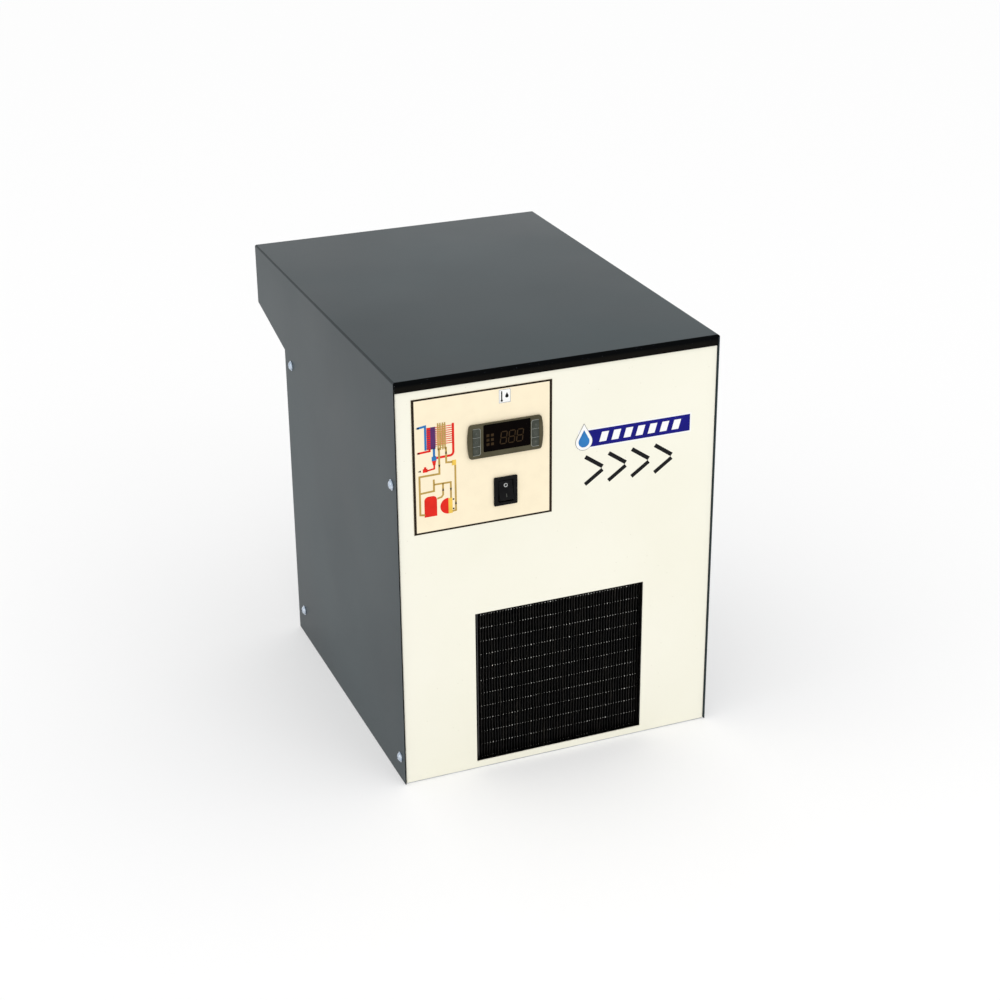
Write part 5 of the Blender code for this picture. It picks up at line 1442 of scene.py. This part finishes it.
# %% Mould the bezel
bezel_low, bezel_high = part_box("controller_bezel")
window_low, window_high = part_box("controller_window")
KEYS = sorted(name for name in nodes if name.startswith("key_"))
BEZEL_FACE = depth_of("controller_bezel")
BEZEL_BULGE = 0.0022
BEZEL_CORNER = 0.0024
BEZEL_ROUNDING = 0.0010
BRACKET_ABOVE = 0.0006
BRACKET_BESIDE = 0.0009
BRACKET_CORNER = 0.0014
BRACKET_BEND = 0.16
BRACKET_LINE = 0.00055
BAR_LINE = 0.0005
BRACKET_FACE = BEZEL_FACE - 0.00012
BRACKET_DEPTH = 0.0003
MOULD_GAP = 0.0003
MOULD_EDGE = 0.00015
POCKET_CORNER = 0.0015
KEY_HOLE_CORNER = 0.0006

olive = make_stock(
    "olive_moulding", (0.058, 0.050, 0.024), (0.078, 0.069, 0.038), (0.34, 0.46), 1800.0,
    0.00002, patch=60.0, specular=0.2)
key_skin = make_stock(
    "grey_olive_key", (0.042, 0.048, 0.037), (0.060, 0.066, 0.053), (0.42, 0.55), 2200.0,
    0.00002, patch=140.0, specular=0.2)
sign_ink = make_stock(
    "faint_sign", (0.075, 0.080, 0.066), (0.100, 0.106, 0.090), (0.42, 0.55), 2200.0,
    0.00001, patch=200.0, specular=0.2)
pale_line = make_stock(
    "pale_line", (0.20, 0.215, 0.19), (0.30, 0.315, 0.285), (0.30, 0.42), 1200.0, 0.00001,
    patch=200.0, specular=0.2)


def bulged_outline(low, high, bulge, steps=14):
    """A rectangle whose left and right ends swell outwards, as (x, z)."""
    outline = []
    half_x = (high.x - low.x) / 2 - bulge
    centre = (low + high) / 2
    half_z = (high.z - low.z) / 2
    for sign in (1, -1):
        for step in range(steps + 1):
            across = -1 + 2 * step / steps
            reach = half_x + bulge * (1 - across * across)
            outline.append((centre.x + sign * reach, centre.z + sign * across * half_z))
    return outline


def key_hole(name):
    """A rounded hole for one key."""
    return ease(through(*shrunk(name, -MOULD_GAP)), KEY_HOLE_CORNER, along_depth, 3)


def window_pocket():
    """The cutter for the pocket that holds the window."""
    low, high = shrunk("controller_window", -MOULD_GAP)
    pocket = block(
        Vector((low.x, bezel_low.y - REACH, low.z)),
        Vector((high.x, window_high.y + MOULD_GAP, high.z)))
    return ease(pocket, POCKET_CORNER, along_depth, 4)


def make_bezel():
    """The bezel with its pocket and key holes."""
    shape = pushed(
        bulged_outline(bezel_low, bezel_high, BEZEL_BULGE), "Y", bezel_low.y, bezel_high.y)
    centre = middle("controller_bezel")
    top = bezel_high.z - centre.z - 0.0001
    ease(shape, BEZEL_CORNER, lambda point, way: (
        along_depth(point, way) and abs(point.z - centre.z) > top), 5)
    ease(shape, BEZEL_ROUNDING, facing(bezel_low.y), 4)
    bezel = new_piece(
        "controller_front", shape, olive, "cabinet", "olive_plastic", "controller_bezel")
    carve(bezel, window_pocket())
    carve(bezel, joined(*[key_hole(name) for name in KEYS]))
    return soften(bezel, MOULD_EDGE)


def bracket(side):
    """The pale bracket around one side's three keys, open away from the window."""
    boxes = [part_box(name) for name in KEYS if side in name]
    bottom = min(low.z for low, _ in boxes) - BRACKET_ABOVE
    top = max(high.z for _, high in boxes) + BRACKET_ABOVE
    left, right = boxes[0][0].x, boxes[0][1].x
    inner = right + BRACKET_BESIDE if side == "left" else left - BRACKET_BESIDE
    outer = left if side == "left" else right
    near = inner + (outer - inner) * BRACKET_BEND
    path = [
        (outer, top), (near, top), (inner, top - BRACKET_CORNER),
        (inner, bottom + BRACKET_CORNER), (near, bottom), (outer, bottom)]
    parts = [stroke(path, BRACKET_LINE, BRACKET_FACE, BRACKET_DEPTH)]
    tops = sorted(high.z for _, high in boxes)
    bottoms = sorted(low.z for low, _ in boxes)
    for below, above in zip(tops, bottoms[1:]):
        z = (below + above) / 2
        parts.append(stroke([(outer, z), (inner, z)], BAR_LINE, BRACKET_FACE, BRACKET_DEPTH))
    return joined(*parts)


make_bezel()
for side in ("left", "right"):
    new_piece(f"bracket_{side}", bracket(side), pale_line, "cabinet", "olive_plastic")
print("keys:", ", ".join(KEYS))

# %% [markdown]
# ## The keys
#
# Each key is a soft rounded pad that moves on its own. A subdivision surface would swell it
# too much, so a block gets its front edges rounded twice: once at the corners seen from the
# front, and once around the face. A small raised sign tells the keys apart.

# %% Press out the keys
KEY_CORNER = 0.0009
KEY_ROUNDING = 0.0004
SIGN = 0.0013
SIGN_LINE = 0.0004
SIGN_DEPTH = 0.00012


def key_sign(name):
    """The raised sign on a key: a triangle up or down, or a ring in the middle."""
    face = depth_of(name) - INK
    x, z = middle(name).x, middle(name).z
    if name.endswith("middle"):
        return stroke(arc((x, z), SIGN, 0, 378, 21), SIGN_LINE, face, SIGN_DEPTH)
    up = 1 if name.endswith("top") else -1
    foot = z - up * SIGN * 0.8
    return flat_shape([(x - SIGN, foot), (x + SIGN, foot), (x, z + up * SIGN)], face, SIGN_DEPTH)


def make_key(name):
    """One key with eased edges and its sign."""
    low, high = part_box(name)
    pad = ease(block(low, high), KEY_CORNER, along_depth, 4)
    ease(pad, KEY_ROUNDING, facing(low.y), 3)
    body = name + "_body"
    key = new_piece(name.replace("key", "keypad"), pad, key_skin, body, "olive_plastic", name)
    soften(key)
    new_piece(name.replace("key", "sign"), key_sign(name), sign_ink, body, "olive_plastic")


for key_name in KEYS:
    make_key(key_name)
print("keys made:", len(KEYS))

# %% [markdown]
# ## The display
#
# Behind the smoked window sit three seven-segment digits and a few small lamps, all unlit, so
# they show as a faint brown. A clear slab over real segments would need light from inside.
# Instead, the window is a slab of nearly black plastic with a polished face, and the segments
# are printed on it a hair lighter, which looks the same.

# %% Make the window and its segments


def make_smoked_window():
    """Smoked acrylic: nearly black, with a polish that is only slightly wiped."""
    finish, tree, shader = new_finish("smoked_window", 0.08, specular=0.02)
    paint(tree, shader, ramp(
        tree, noise_pattern(tree, 90.0), (0.35, (0.0012, 0.0006, 0.0006)),
        (0.65, (0.0024, 0.0012, 0.0008))))
    dull(tree, shader, remap(tree, noise_pattern(tree, 120.0, 4.0), 0.05, 0.13))
    return finish


smoked = make_smoked_window()
ink_segment = make_stock(
    "unlit_segment", (0.028, 0.016, 0.006), (0.044, 0.027, 0.012), (0.20, 0.30), 900.0,
    0.00001, patch=400.0, specular=0.05)
WINDOW_FACE = depth_of("controller_window")
DIGIT_HEIGHT = 0.0135
DIGIT_WIDTH = 0.0066
DIGIT_PITCH = 0.0092
DIGIT_LEAN = 0.12
DIGITS = 3
SEGMENT = 0.0011
FIRST_DIGIT = -0.0079
DISPLAY_FOOT = -0.0088
LAMP_WIDTH = 0.0032
LAMP_HEIGHT = 0.0030
LAMP_PITCH = 0.0050
LAMP_MARGIN = 0.0032
LAMP_RISE = 0.0002
LAMP_PLACES = [(column, row) for column in range(2) for row in range(3)]
WINDOW_CORNER = 0.0013


def digit(left, bottom):
    """The seven bars of one leaning digit."""
    top, half = bottom + DIGIT_HEIGHT, bottom + DIGIT_HEIGHT / 2
    right = left + DIGIT_WIDTH
    gap = SEGMENT * 0.55
    bars = [
        ((left + gap, bottom), (right - gap, bottom)), ((left + gap, half), (right - gap, half)),
        ((left + gap, top), (right - gap, top)),
        ((left, bottom + gap), (left, half - gap)), ((left, half + gap), (left, top - gap)),
        ((right, bottom + gap), (right, half - gap)), ((right, half + gap), (right, top - gap))]
    shapes = []
    for start, end in bars:
        leaning = [(x + (z - bottom) * DIGIT_LEAN, z) for x, z in (start, end)]
        shapes.append(stroke(leaning, SEGMENT, WINDOW_FACE - INK))
    return shapes


def lamp(column, row, bottom):
    """One small lamp at the window's left."""
    left = window_low.x + LAMP_MARGIN + column * LAMP_PITCH
    foot = bottom + LAMP_RISE + row * LAMP_PITCH
    return rectangle((left, foot), (left + LAMP_WIDTH, foot + LAMP_HEIGHT), WINDOW_FACE - INK)


def make_display():
    """The window slab, its digits and its small lamps."""
    slab = ease(block(window_low, window_high), WINDOW_CORNER, along_depth, 4)
    window = new_piece(
        "display_window", slab, smoked, "cabinet", "dark_window", "controller_window")
    soften(window, 0.0001)
    centre = middle("controller_window")
    bottom = centre.z + DISPLAY_FOOT
    shapes = []
    for number in range(DIGITS):
        shapes += digit(centre.x + FIRST_DIGIT + number * DIGIT_PITCH, bottom)
    shapes += [lamp(column, row, bottom) for column, row in LAMP_PLACES]
    new_piece("display_segments", joined(*shapes), ink_segment, "cabinet", "dark_window")


make_display()
print("display digits:", DIGITS, "lamps:", len(LAMP_PLACES))

# %% [markdown]
# ## The rocker switch
#
# The mains switch is a glossy black rocker in a black frame, with its top half pressed in.
# The rocker's end outline is a shallow hollow in front and an arc at each end. It is pushed
# across its width and its edges are eased. The pale ring and the short bar are inlaid marks,
# so they bend with the surface: each point of a mark is set on the hollow face.

# %% Make the switch
switch_low, switch_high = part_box("switch_body")
rocker_low, rocker_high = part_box("switch_rocker")
rocker_joint = next(joint for joint in frame["joints"] if joint["child"] == "rocker")
PIVOT = Vector(rocker_joint["pos_m"])
ROCKER_RADIUS = 0.0119
ROCKER_TILT = Matrix.Rotation(-math.radians(12), 2)
ROCKER_HOLLOW = 0.0012
CREST = math.radians(28)
END_ARC = math.radians(36)
FACE_HALF = 0.0105
RING_PLACE = 0.52
RING_RADII = (0.0014, 0.0022)
BAR_FOOT = -0.72
BAR_RISE = 0.36
BAR_HALF = 0.0003
MARK_PROUD = 0.00004
MARK_DEPTH = 0.00006
FLANGE_BACK = 0.0006
FRAME_CORNER = 0.0012
FRAME_ROUNDING = 0.0006
BODY_INSET = Vector((0.0025, 0, 0.0017))
ROCKER_GAP = 0.0005
WELL_DEPTH = 0.011


def tilted(out, up):
    """A point this far out of the pivot and above it, on the tilted rocker, as (Y, Z)."""
    point = ROCKER_TILT @ Vector((-out, up))
    return PIVOT.y + point.x, PIVOT.z + point.y


def rocker_face(share):
    """A point of the rocker's hollow front, for a share from -1 at its foot to 1."""
    out = ROCKER_RADIUS * math.sin(CREST) - ROCKER_HOLLOW * (1 - share * share)
    return tilted(out, ROCKER_RADIUS * math.cos(CREST) * share)


def rocker_end(sign, share):
    """A point of the arc at the rocker's upper (1) or lower (-1) end."""
    angle = CREST - END_ARC * share
    return tilted(ROCKER_RADIUS * math.sin(angle), sign * ROCKER_RADIUS * math.cos(angle))


def make_rocker():
    """The rocker, pushed across its width."""
    outline = [rocker_face(-1 + 2 * step / 16) for step in range(17)]
    outline += [rocker_end(1, share) for share in (0.33, 0.66, 1.0)]
    outline += [rocker_end(-1, share) for share in (1.0, 0.66, 0.33)]
    shape = pushed(outline, "X", rocker_low.x, rocker_high.x)
    rocker = new_piece(
        "rocker_cap", shape, black_plastic, "rocker", "black_plastic", "switch_rocker")
    return soften(rocker, 0.0005, segments=3)


def on_face(mesh, across, share):
    """A corner of a mark, just proud of the rocker's face."""
    y, z = rocker_face(share)
    return mesh.verts.new((PIVOT.x + across, y - MARK_PROUD, z))


def inlay(mesh, rows):
    """A closed inlay between pairs of corners that follow each other."""
    for below, above in zip(rows, rows[1:]):
        mesh.faces.new((below[0], below[1], above[1], above[0]))
    bmesh.ops.recalc_face_normals(mesh, faces=mesh.faces)
    bmesh.ops.solidify(mesh, geom=mesh.faces[:], thickness=MARK_DEPTH)
    bmesh.ops.recalc_face_normals(mesh, faces=mesh.faces)
    return mesh


def make_ring_mark(steps=28):
    """The pale ring near the rocker's top."""
    mesh = bmesh.new()
    rows = []
    for step in range(steps):
        turn = math.tau * step / steps
        rows.append([
            on_face(mesh, radius * math.cos(turn),
                    RING_PLACE + radius * math.sin(turn) / FACE_HALF)
            for radius in RING_RADII])
    return inlay(mesh, rows + rows[:1])


def make_bar_mark(steps=6):
    """The pale bar near the rocker's foot."""
    mesh = bmesh.new()
    rows = [
        [on_face(mesh, side, BAR_FOOT + BAR_RISE * step / steps)
         for side in (-BAR_HALF, BAR_HALF)] for step in range(steps + 1)]
    return inlay(mesh, rows)


def make_switch_frame():
    """The frame with its well and the body behind the panel."""
    flange_back = FRONT + FLANGE_BACK
    face = block(switch_low, Vector((switch_high.x, flange_back, switch_high.z)))
    ease(face, FRAME_CORNER, along_depth, 4)
    ease(face, FRAME_ROUNDING, facing(switch_low.y), 3)
    body = new_piece(
        "switch_frame", face, black_plastic, "cabinet", "black_plastic", "switch_body")
    body_low = Vector((switch_low.x, flange_back - 0.0004, switch_low.z)) + BODY_INSET
    carve(body, block(body_low, switch_high - BODY_INSET), "UNION")
    half = ROCKER_RADIUS + ROCKER_GAP
    carve(body, block(
        Vector((rocker_low.x - ROCKER_GAP, FRONT - REACH, PIVOT.z - half)),
        Vector((rocker_high.x + ROCKER_GAP, FRONT + WELL_DEPTH, PIVOT.z + half))))
    return soften(body, 0.0003)


pale_mark = make_stock(
    "pale_mark", (0.42, 0.43, 0.42), (0.56, 0.57, 0.56), (0.30, 0.40), 900.0, 0.00001,
    patch=300.0, specular=0.2)
make_switch_frame()
make_rocker()
new_piece("rocker_ring", make_ring_mark(), pale_mark, "rocker", "black_plastic")
new_piece("rocker_bar", make_bar_mark(), sign_ink, "rocker", "black_plastic")
print("rocker pivots at", [round(1000 * value, 1) for value in PIVOT], "mm")

# %% [markdown]
# ## The connections at the back
#
# Two brass sockets take the air pipes. Each is a hexagon with chamfered corners, a bright
# face and an internal thread. The chamfer is what is left where the hexagon meets a turned
# shape with sloping ends, just as on a lathe. The thread is a stack of fine rings, which
# reads as a thread at any normal distance.

# %% Turn the brass sockets
HEX_RADIUS = 0.0165
SOCKET_BORE = 0.0095
SOCKET_DEPTH = 0.016
PIPE_BORE = 0.0075
PIPE_RADIUS = 0.010
HEX_LENGTH = 0.030
PIPE_OVERLAP = 0.004
CHAMFER = 0.0016
THREAD_PITCH = 0.0014
THREAD_DEPTH = 0.0007
COUNTERSINK = 0.0014
HAIR = 0.00001


def hexagon(centre, radius):
    """A hexagon's corners, as (x, z)."""
    return [
        (centre.x + radius * math.cos(math.tau * step / 6),
         centre.z + radius * math.sin(math.tau * step / 6)) for step in range(6)]


def chamfer_cone(centre, start, end, radius):
    """A turned shape that leaves a hexagon's corners chamfered at both ends."""
    profile = [
        (0, start), (radius - CHAMFER, start), (radius, start + CHAMFER * 0.6),
        (radius, end - CHAMFER * 0.6), (radius - CHAMFER, end), (0, end)]
    return turned(profile, "Y", centre, 64)


def axis_of(node):
    """A point on the axis of a round solid that runs from front to back."""
    return Vector((middle(node).x, 0, middle(node).z))


def threaded_bore(inner, outer):
    """A socket's bore from the pipe's end out to its mouth, as (radius, Y)."""
    profile = [(0, inner - REACH), (PIPE_BORE, inner - REACH), (PIPE_BORE, outer - SOCKET_DEPTH)]
    for number in range(int((SOCKET_DEPTH - 0.002) / THREAD_PITCH)):
        start = outer - SOCKET_DEPTH + 0.0004 + number * THREAD_PITCH
        profile += [
            (SOCKET_BORE, start), (SOCKET_BORE + THREAD_DEPTH, start + THREAD_PITCH / 2)]
    mouth = SOCKET_BORE + COUNTERSINK
    return profile + [
        (SOCKET_BORE, outer - 0.0015), (mouth, outer + 0.0001), (mouth, outer + REACH),
        (0, outer + REACH)]


def make_socket(node):
    """One brass socket with its pipe, its hexagon and its thread."""
    low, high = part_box(node)
    centre = axis_of(node)
    start = high.y - HEX_LENGTH
    shape = pushed(hexagon(centre, HEX_RADIUS), "Y", start, high.y)
    socket = new_piece(node.replace("port", "socket"), shape, brass, "cabinet", "brass", node)
    carve(socket, chamfer_cone(centre, start - HAIR, high.y + HAIR, HEX_RADIUS), "INTERSECT")
    end = start + PIPE_OVERLAP
    pipe = [(0, low.y), (PIPE_RADIUS, low.y), (PIPE_RADIUS, end), (0, end)]
    carve(socket, turned(pipe, "Y", centre, 40), "UNION")
    carve(socket, turned(threaded_bore(low.y, high.y), "Y", centre, 40))
    return soften(socket, 0.0001)


for port in ("air_inlet_port", "air_outlet_port"):
    make_socket(port)
print("sockets cut, thread pitch", 1000 * THREAD_PITCH, "mm")

# %% [markdown]
# ## The drain fitting
#
# Water leaves through a black push-in fitting with a blue release ring. The fitting is a
# hexagon and a ribbed barrel in one moulding, so the two are joined before the bore is cut.

# %% Mould the drain fitting
OFF_PANEL = rear_high.y + 0.0003
FITTING_HEX = 0.011
FITTING_HEX_LENGTH = 0.006
BARREL = 0.006
RIBS = 5
RIB_PITCH = 0.0030
RIB_HEIGHT = 0.0003
HOSE_BORE = 0.0036


def fitting_barrel(inner, outer):
    """The barrel's outline with its ribs, as (radius, Y)."""
    valley = BARREL - RIB_HEIGHT
    profile = [(0, inner), (BARREL, inner), (BARREL, OFF_PANEL + 0.0065)]
    for rib in range(RIBS):
        start = OFF_PANEL + 0.0085 + rib * RIB_PITCH
        profile += [
            (valley, start), (BARREL, start + 0.0004), (BARREL, start + 0.0016),
            (valley, start + 0.0020)]
    return profile + [
        (0.0058, outer - 0.0022), (0.0050, outer - 0.0014), (0, outer - 0.0014)]


def make_drain_fitting():
    """Push-in fitting: hexagon, ribbed barrel and release ring around an open bore."""
    low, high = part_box("drain_outlet_fitting")
    centre = axis_of("drain_outlet_fitting")
    end = OFF_PANEL + FITTING_HEX_LENGTH
    shape = pushed(hexagon(centre, FITTING_HEX), "Y", OFF_PANEL, end)
    fitting = new_piece(
        "drain_fitting", shape, black_plastic, "cabinet", "black_plastic",
        "drain_outlet_fitting")
    carve(fitting, chamfer_cone(centre, OFF_PANEL, end, FITTING_HEX), "INTERSECT")
    carve(fitting, turned(fitting_barrel(low.y, high.y), "Y", centre, 40), "UNION")
    bore = [
        (0, low.y - REACH), (HOSE_BORE, low.y - REACH), (HOSE_BORE, high.y + REACH),
        (0, high.y + REACH)]
    carve(fitting, turned(bore, "Y", centre, 32))
    soften(fitting, MOULD_EDGE)


def make_release_ring():
    """The ring that is pressed to let the hose go, around the fitting's bore."""
    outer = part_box("drain_outlet_fitting")[1].y
    ring = [
        (HOSE_BORE, outer - 0.0040), (0.0050, outer - 0.0013), (0.0052, outer - 0.0004),
        (0.0048, outer), (HOSE_BORE, outer), (HOSE_BORE, outer - 0.0040)]
    soften(new_piece(
        "release_ring", turned(ring, "Y", axis_of("drain_outlet_fitting"), 40), hose_plastic,
        "cabinet", "hose_plastic"))


make_drain_fitting()
make_release_ring()
print("drain fitting, bore", 2000 * HOSE_BORE, "mm")

# %% [markdown]
# ## The power inlet
#
# Mains power comes in through a standard three-pin inlet: a rectangular well with two cut
# corners and three flat pins. The lead is a separate thing that plugs in here. The flange is
# a block with rounded corners, joined to the body behind it, and the well is cut last, so
# that it goes through both.

# %% Mould the inlet
FLANGE_CORNER = 0.0060
FLANGE_ROUNDING = 0.0006
BODY_HALF = Vector((0.0145, 0, 0.01125))
WELL_HALF = (0.01225, 0.0090)
WELL_CORNER = 0.0036
INLET_DEPTH = 0.016
PIN_HALF = Vector((0.001, 0, 0.002))
PIN_PLACES = ((-0.007, -0.0015), (0.0, 0.0015), (0.007, -0.0015))
PIN_FOOT = 0.0165
PIN_TIP = 0.003
FLANGE_SCREW = 0.0200
FLANGE_SCREW_HEAD = [
    (0, 0), (0.0030, 0), (0.0030, 0.0004), (0.0022, 0.0010), (0.0008, 0.0012),
    (0.0006, 0.0006), (0, 0.0005)]


def inlet_outline(centre, half_x, half_z, corner):
    """The inlet's well: a rectangle with its two upper corners cut off, as (x, z)."""
    return [
        (centre.x - half_x, centre.z - half_z), (centre.x + half_x, centre.z - half_z),
        (centre.x + half_x, centre.z + half_z - corner),
        (centre.x + half_x - corner, centre.z + half_z),
        (centre.x - half_x + corner, centre.z + half_z),
        (centre.x - half_x, centre.z + half_z - corner)]


def make_power_inlet(low, high, centre):
    """The inlet's flange, its body and its well."""
    flange = block(Vector((low.x, OFF_PANEL, low.z)), high)
    ease(flange, FLANGE_CORNER, along_depth, 5)
    ease(flange, FLANGE_ROUNDING, facing(high.y), 3)
    inlet = new_piece(
        "mains_inlet", flange, black_plastic, "cabinet", "black_plastic", "power_inlet")
    body_low = Vector((centre.x, low.y, centre.z)) - BODY_HALF
    body_high = Vector((centre.x, high.y - 0.0003, centre.z)) + BODY_HALF
    carve(inlet, block(body_low, body_high), "UNION")
    well = inlet_outline(centre, *WELL_HALF, WELL_CORNER)
    carve(inlet, pushed(well, "Y", high.y - INLET_DEPTH, high.y + REACH))
    soften(inlet, 0.0002)


def inlet_pin(across, up, high, centre):
    """One flat pin with an eased tip."""
    place = Vector((centre.x + across, 0, centre.z + up))
    pin = block(
        place - PIN_HALF + Vector((0, high.y - PIN_FOOT, 0)),
        place + PIN_HALF + Vector((0, high.y - PIN_TIP, 0)))
    return ease(pin, 0.0005, facing(high.y - PIN_TIP), 2)


def flange_screw(sign, high, centre):
    """One small screw head on the flange."""
    seat = Vector((centre.x + sign * FLANGE_SCREW, high.y - 0.0001, centre.z))
    return turned(FLANGE_SCREW_HEAD, "Y", seat, 28)


inlet_low, inlet_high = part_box("power_inlet")
inlet_centre = middle("power_inlet")
make_power_inlet(inlet_low, inlet_high, inlet_centre)
pins = [inlet_pin(*place, inlet_high, inlet_centre) for place in PIN_PLACES]
new_piece("inlet_pins", joined(*pins), steel, "cabinet", "machined_steel")
heads = [flange_screw(sign, inlet_high, inlet_centre) for sign in (-1, 1)]
soften(new_piece("inlet_screws", joined(*heads), bright_zinc, "cabinet", "zinc_screws"))
print("inlet pins:", len(pins))

# %% [markdown]
# ## Finishes for the parts inside
#
# Through the openings one sees the fan, its shroud and dark shapes behind. Those measured
# solids are good as they are, so each only gets its finish. A short table says which finish
# goes on which solid.

# %% Dress the parts inside
INSIDE = {
    "base_pan": galvanised, "fan_shroud": galvanised, "fan_bracket": galvanised,
    "exchanger_stand": galvanised, "controller_case": black_plastic,
    "compressor_terminal_cover": black_plastic, "drain_coil": black_plastic,
    "condenser_end_plate_left": enamel, "condenser_end_plate_right": enamel,
    "fan_motor": enamel, "compressor_shell_lower": enamel, "compressor_shell_upper": enamel,
    "condenser_tube": enamel, "discharge_line": copper, "suction_line": copper,
    "liquid_line": copper, "filter_drier": copper, "capillary_tube": copper,
    "bypass_line": copper, "heat_exchanger": aluminium, "fan_blade": aluminium,
    "compressor_motor_block": steel, "compressor_crankshaft": steel, "drain_plunger": steel,
    "drain_valve_body": brass, "hot_gas_valve": brass, "insulation_left": foam,
    "insulation_right": foam, "drain_hose": hose_plastic,
    **{f"compressor_foot_{number}": rubber for number in range(1, 5)},
}
for node, finish in INSIDE.items():
    for holder in nodes[node].material_slots:
        holder.material = finish
print("solids dressed:", len(INSIDE))
